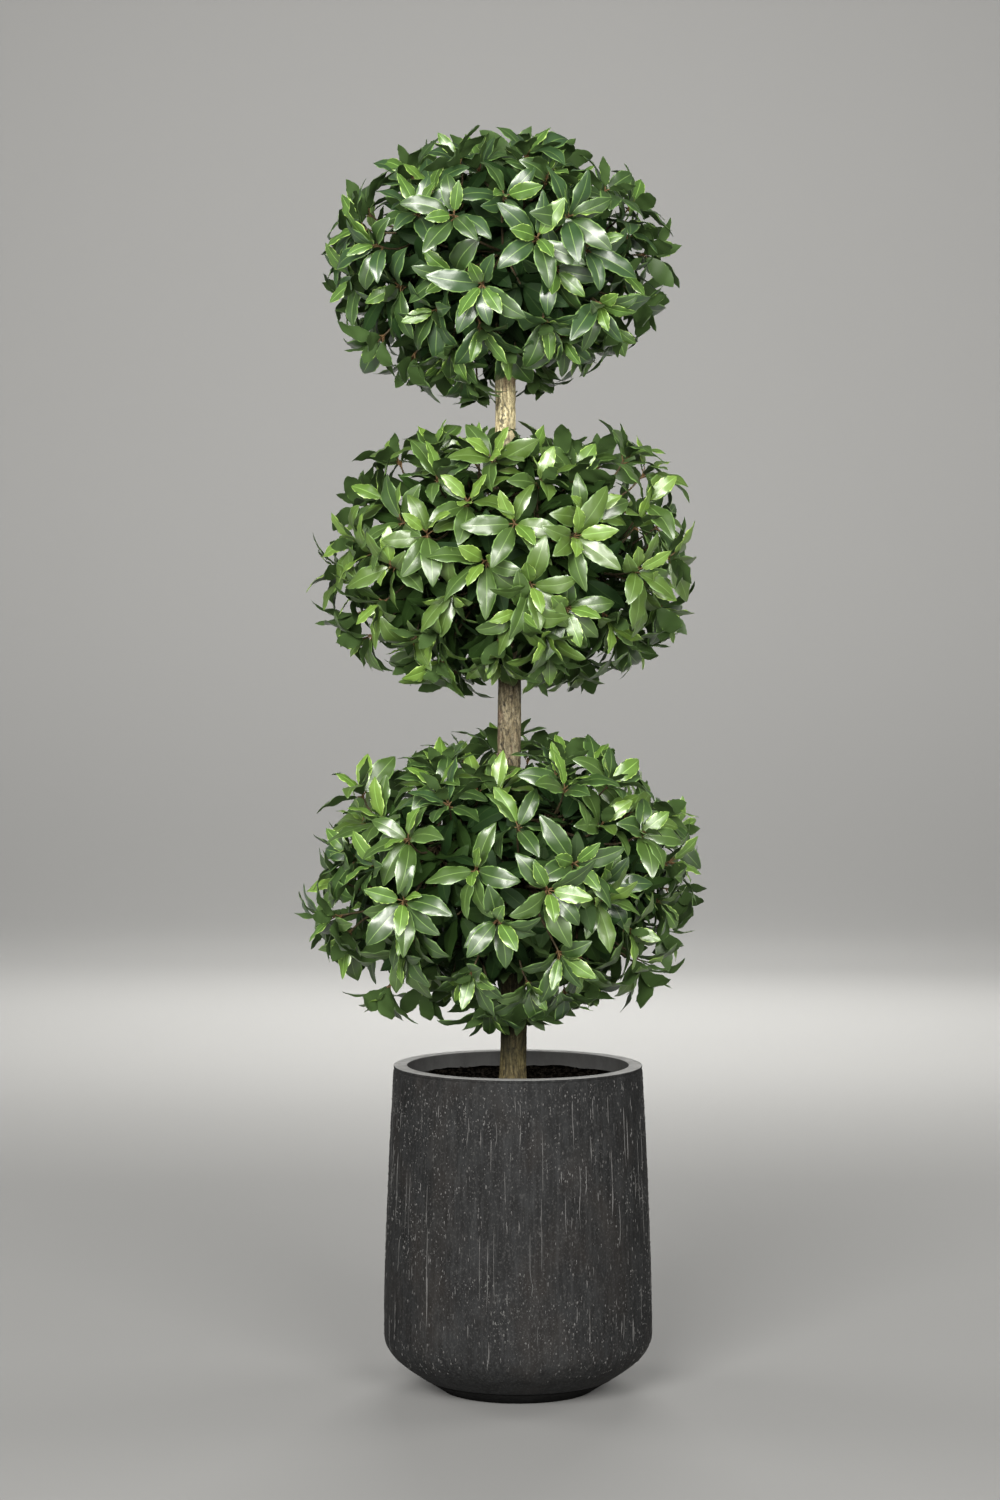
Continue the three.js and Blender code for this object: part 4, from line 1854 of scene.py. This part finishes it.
    def set_leaf(
        self,
        habit: LeafHabit,
        tier: Tier,
        whorl: tuple[np.ndarray, np.ndarray, np.ndarray],
        turn: float,
        near: np.ndarray,
        tone_with_painted_light: float,
        limit: float,
        trunk: Trunk,
    ) -> np.ndarray | None:
        """Set one leaf where it has most room, within the reach and clear of the trunk.

        Args:
            habit: the leaf's shape and finish.
            tier: the shell that its whorl belongs to.
            whorl: the twig's end, its direction and the direction of the first leaf.
            turn: the leaf's angle round the twig.
            near: points on the leaves round about.
            tone_with_painted_light: the spray's shade, from 0 to 1, random and shifted by the ball's
                painted light.
            limit: how far out the whorl's leaves may lie, as a share of the ball's reach.
            trunk: the trunk.

        Returns:
            Points on the new leaf, or None where it finds no place.
        """
        tip, axis, first = whorl
        rng = self.random
        length = rng.uniform(*habit.length)
        share = rng.uniform(*habit.width_share)
        arch = rng.uniform(*habit.arch)
        trims = np.linspace(1, self.shortest, self.trials)
        spreads = rng.uniform(*habit.spread, self.trials) * (1 - self.polar_rise * abs(axis[2]))
        turns = turn + rng.normal(0, self.turn_stray, self.trials)
        stalk = rng.uniform(*self.petiole)
        foot = tip - axis * rng.uniform(*habit.setback)
        outward = turned_about(first, axis, turns)
        side = np.cross(axis, outward)
        along = turned_about(axis, side, spreads)
        along = unit(along - rng.uniform(*habit.droop, (self.trials, 1)) * UPWARD)
        side = unit(side - np.sum(side * along, axis=-1, keepdims=True) * along)
        side = turned_about(side, along, rng.normal(0, habit.roll, self.trials))
        up = np.cross(along, side)
        root = foot + stalk * along
        u = SAMPLES_ALONG
        v = self.sample_width * share * SAMPLES_ACROSS
        sag = np.sin(self.sag * arch * u) * u
        local = u[:, None, None] * along + v[:, None, None] * side - sag[:, None, None] * up
        points = root + (length * trims)[:, None] * local
        points = np.swapaxes(points, 0, 1)
        furthest = self.reach_share(points).max(axis=1) / (limit * tier.within)
        inside = furthest <= 1
        free = self.off_trunk(points, trunk).min(axis=1) > self.trunk_room
        room = self.room_left(points, near)
        score = room - self.trim_cost * (1 - trims) - habit.reaching * (1 - furthest)
        score = np.where(inside & free & (room > self.least_room), score, NO_PLACE)
        best = int(np.argmax(score))
        if score[best] == NO_PLACE:
            return None
        size = length * trims[best]
        # The leaf's tone follows its spray's, painted light and painted shade included
        shade = self.spray_share * tone_with_painted_light + (1 - self.spray_share) * rng.random()
        blade = int(np.clip(shade * len(habit.blades), 0, len(habit.blades) - 1))
        leaf = PlacedLeaf(
            root=root[best],
            along=along[best],
            side=side[best],
            up=up[best],
            length=size,
            width=size * share,
            arch=arch,
            fold=rng.uniform(*habit.fold),
            twist=rng.normal(0, self.twist),
            wave=rng.uniform(0, FULL_TURN),
            blade=blade,
        )
        self.leaves[habit.age].append(leaf)
        if tier.petioles:
            self.grow_petiole(foot, axis, leaf, stalk)
        return points[best]

    def grow_tier(self, tier: Tier, trunk: Trunk) -> None:
        """Grow one shell of whorls, each on its own twig.

        Args:
            tier: the shell.
            trunk: the trunk.
        """
        for direction in self.directions(round(tier.share * self.whorls)):
            depth = tier.depth + self.random.uniform(-tier.stray, tier.stray)
            limit = 1 + self.overreach - self.raggedness * self.random.random()
            whorls = limit * self.extent - depth
            tip = self.middle + direction * whorls / self.reach_share(self.middle + direction * self.extent)
            lean = self.random.normal(0, self.axis_stray, 3)
            axis = unit(unit(direction / whorls) + self.rise * UPWARD + lean)
            # A spray's random tone, shifted by the ball's painted light, which is painted shade below 0
            tone_with_painted_light = float(np.clip(self.random.random() + self.painted_light_shift, 0, 1))
            turn = self.random.uniform(0, FULL_TURN)
            if self.off_trunk(tip, trunk) < self.whorl_rooms * self.trunk_room:
                continue
            first = unit(np.cross(UPWARD, axis))
            near = [p for at, p in self.taken if np.linalg.norm(at - tip) < self.neighbourhood]
            own = np.concatenate(near) if near else np.empty((0, 3))
            fresh: list[np.ndarray] = []
            for habit in tier.habits:
                count = int(self.random.integers(habit.count[0], habit.count[1] + 1))
                turn += math.pi / count
                for k in range(count):
                    stray = self.random.uniform(-self.leaf_stray, self.leaf_stray)
                    angle = turn + FULL_TURN * (k + stray) / count
                    added = self.set_leaf(habit, tier, (tip, axis, first), angle, own, tone_with_painted_light, limit, trunk)
                    if added is not None:
                        fresh.append(added)
                        own = np.concatenate([own, added])
            if fresh:
                self.taken.append((tip, np.concatenate(fresh)))
                self.grow_twig(tip, axis)

    def build(self, trunk: Trunk) -> None:
        """Grow the ball and make its pieces.

        Args:
            trunk: the trunk that it grows on.
        """
        self.grow_boughs(trunk)
        for tier in TIERS:
            self.grow_tier(tier, trunk)
        for kind, shell in self.wood.items():
            bark = BARKS[kind]
            finish = bpy.data.materials.get(bark.name) or bark.material()
            shell.piece(f"{self.name}_ball_{kind.value}", [finish], "bark")
        for habit in (MATURE_LEAVES, YOUNG_LEAVES, INNER_LEAVES):
            placed = self.leaves[habit.age]
            made = LeafMaker(habit).build(f"{self.name}_ball_{habit.age.value}_leaves", placed)
            log.info("  %d leaves", len(placed))
            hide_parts(f"foliage_ball_{self.name}")


@dataclass(frozen=True)
class SoftLight:
    """A large square light.

    Attributes:
        name: the light's name.
        place: where it hangs.
        aim: the point that it faces.
        size: length of its sides.
        watts: its power.
        mirrored: whether glossy surfaces mirror it.
    """

    name: str
    place: Place
    aim: Place
    size: float
    watts: float
    mirrored: bool = True

    def hang(self, colour: Colour) -> None:
        """Hang the light in the studio.

        Args:
            colour: the light's colour.
        """
        lamp = bpy.data.lights.new(self.name, "AREA")
        lamp.size = self.size
        lamp.energy = self.watts
        lamp.color = colour
        holder = new_object(self.name, lamp)
        holder.visible_glossy = self.mirrored
        holder.location = self.place
        holder.rotation_euler = (Vector(self.aim) - Vector(self.place)).to_track_quat("-Z", "Y").to_euler()


PLANT_MIDDLE = (0, 0, 0.95)

LIGHTS = (
    SoftLight("key_light", (-1.62, -5.13, 2.64), PLANT_MIDDLE, size=2.57, watts=635),
    SoftLight("fill_light", (2.03, -5.27, 2.37), PLANT_MIDDLE, size=2.57, watts=390),
    SoftLight("left_light", (-4.2, 1.5, 2.6), PLANT_MIDDLE, size=2.5, watts=130, mirrored=False),
    SoftLight("right_light", (4.2, 1.5, 2.6), PLANT_MIDDLE, size=2.5, watts=130, mirrored=False),
    SoftLight("back_light", (0.4, 4.6, 2.8), PLANT_MIDDLE, size=2.5, watts=260, mirrored=False),
    SoftLight("backdrop_light", (0, 4.6, 3.9), (0, 8.6, 0.9), size=1.2, watts=490),
)


@dataclass
class Studio:
    """The pale floor, the soft lights and the camera at the photograph's angle."""

    # The photograph's size, focal length, horizon and planter axis, in pixels, and the camera's place
    image_height: float = 1500
    image_width: float = 1000
    focal_pixels: float = 3300
    horizon_row: float = 650
    axis_column: float = 518
    distance: float = 4.29
    eye_height: float = 0.963
    sensor: float = 36

    # The floor and the curve that takes it up to the backdrop
    floor_radius: float = 7
    floor_middle: float = 0.01
    sweep_radius: float = 3
    sweep_ease: float = 0.3
    sweep_rows: int = 16
    backdrop_height: float = 5.5
    sides: int = 96

    # Colours of the light
    world_colour: Colour = (0.96, 0.98, 1.0)
    world_strength: float = 0.12
    lamp_colour: Colour = (1.0, 0.985, 0.94)

    def build_floor(self) -> None:
        """Lay a wide round floor that sweeps up into a backdrop on all sides."""
        wide, ease = self.floor_radius + self.sweep_radius, self.sweep_ease * self.sweep_radius
        controls = [(self.floor_radius, 0), (wide - ease, 0), (wide, ease), (wide, self.sweep_radius)]
        sweep = bezier(controls, self.sweep_rows)
        outline = np.concatenate([[(self.floor_middle, 0)], sweep, [(wide, self.backdrop_height)]])
        rings = turned_rings(outline, self.sides)
        quads = np.roll(band_faces(len(outline), self.sides)[:, ::-1], 1, axis=1)
        middle = list(range(self.sides))
        mesh = bpy.data.meshes.new("studio_floor")
        mesh.from_pydata(rings.reshape(-1, 3).tolist(), [], [middle, *quads.tolist()])
        mesh.polygons.foreach_set("use_smooth", np.ones(len(mesh.polygons), bool))
        mesh.materials.append(FloorFinish().material())
        new_object("studio_floor", mesh)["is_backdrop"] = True

    def build_camera(self) -> None:
        """Set the camera at the photograph's height, distance and tilt."""
        camera = bpy.data.cameras.new("camera")
        camera.sensor_width = self.sensor
        camera.lens = self.sensor * self.focal_pixels / self.image_height
        holder = new_object("camera", camera)
        off_axis = (self.axis_column - self.image_width / 2) * self.distance / self.focal_pixels
        tilt = math.atan((self.image_height / 2 - self.horizon_row) / self.focal_pixels)
        holder.location = (-off_axis, -self.distance, self.eye_height)
        holder.rotation_euler = (math.pi / 2 - tilt, 0, 0)
        bpy.context.scene.camera = holder

    def build(self) -> None:
        """Make the floor, the lights, the sky light and the camera."""
        self.build_floor()
        for light in LIGHTS:
            light.hang(self.lamp_colour)
        world = bpy.data.worlds.new("studio_sky")
        world.use_nodes = True
        sky = world.node_tree.nodes["Background"]
        sky.inputs["Color"].default_value = (*self.world_colour, 1)
        sky.inputs["Strength"].default_value = self.world_strength
        bpy.context.scene.world = world
        bpy.context.scene.view_settings.view_transform = "Standard"
        self.build_camera()


BALLS = (
    FoliageBall(
        "lower",
        x=-0.016,
        z=0.669,
        reach=0.281,
        half_height=0.203,
        whorls=106,
        seed=214,
        squareness=2.2,
        raggedness=0.22,
        overreach=0.062,
    ),
    FoliageBall(
        "middle",
        x=-0.015,
        z=1.080,
        reach=0.257,
        half_height=0.192,
        whorls=94,
        seed=223,
        squareness=2.45,
        # Lighter leaves: painted light, as the lamps light the middle ball most
        painted_light_shift=0.45,
    ),
    FoliageBall(
        "upper",
        x=-0.024,
        z=1.459,
        reach=0.242,
        half_height=0.186,
        whorls=83,
        seed=243,
        squareness=2.15,
        raggedness=0.22,
        overreach=0.062,
        # Darker leaves: painted shade, as the lamps light the upper ball least
        painted_light_shift=-0.75,
    ),
)


def write_sizes() -> None:
    """Log the CAD model's box and the visual model's box beside each other."""
    boxes = {"cad": CAD_BOX, "visual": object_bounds()}
    lists = {name: [list(low), list(high)] for name, (low, high) in boxes.items()}
    for name, box in lists.items():
        log.info("%s box: %s", name, [[round(n, 4) for n in corner] for corner in box])


def main() -> None:
    """Build the studio, the planter with its fill, the trunk and the three balls."""
    logging.basicConfig(level=logging.INFO, format="%(message)s", stream=sys.stdout)
    Studio().build()
    planter = Planter()
    planter.build()
    trunk = Trunk()
    Compost().build(planter, trunk.base_x)
    trunk.build(shade_top=BALLS[-1].z)
    for ball in BALLS:
        ball.build(trunk)
    write_sizes()


if __name__ == "__main__":
    main()
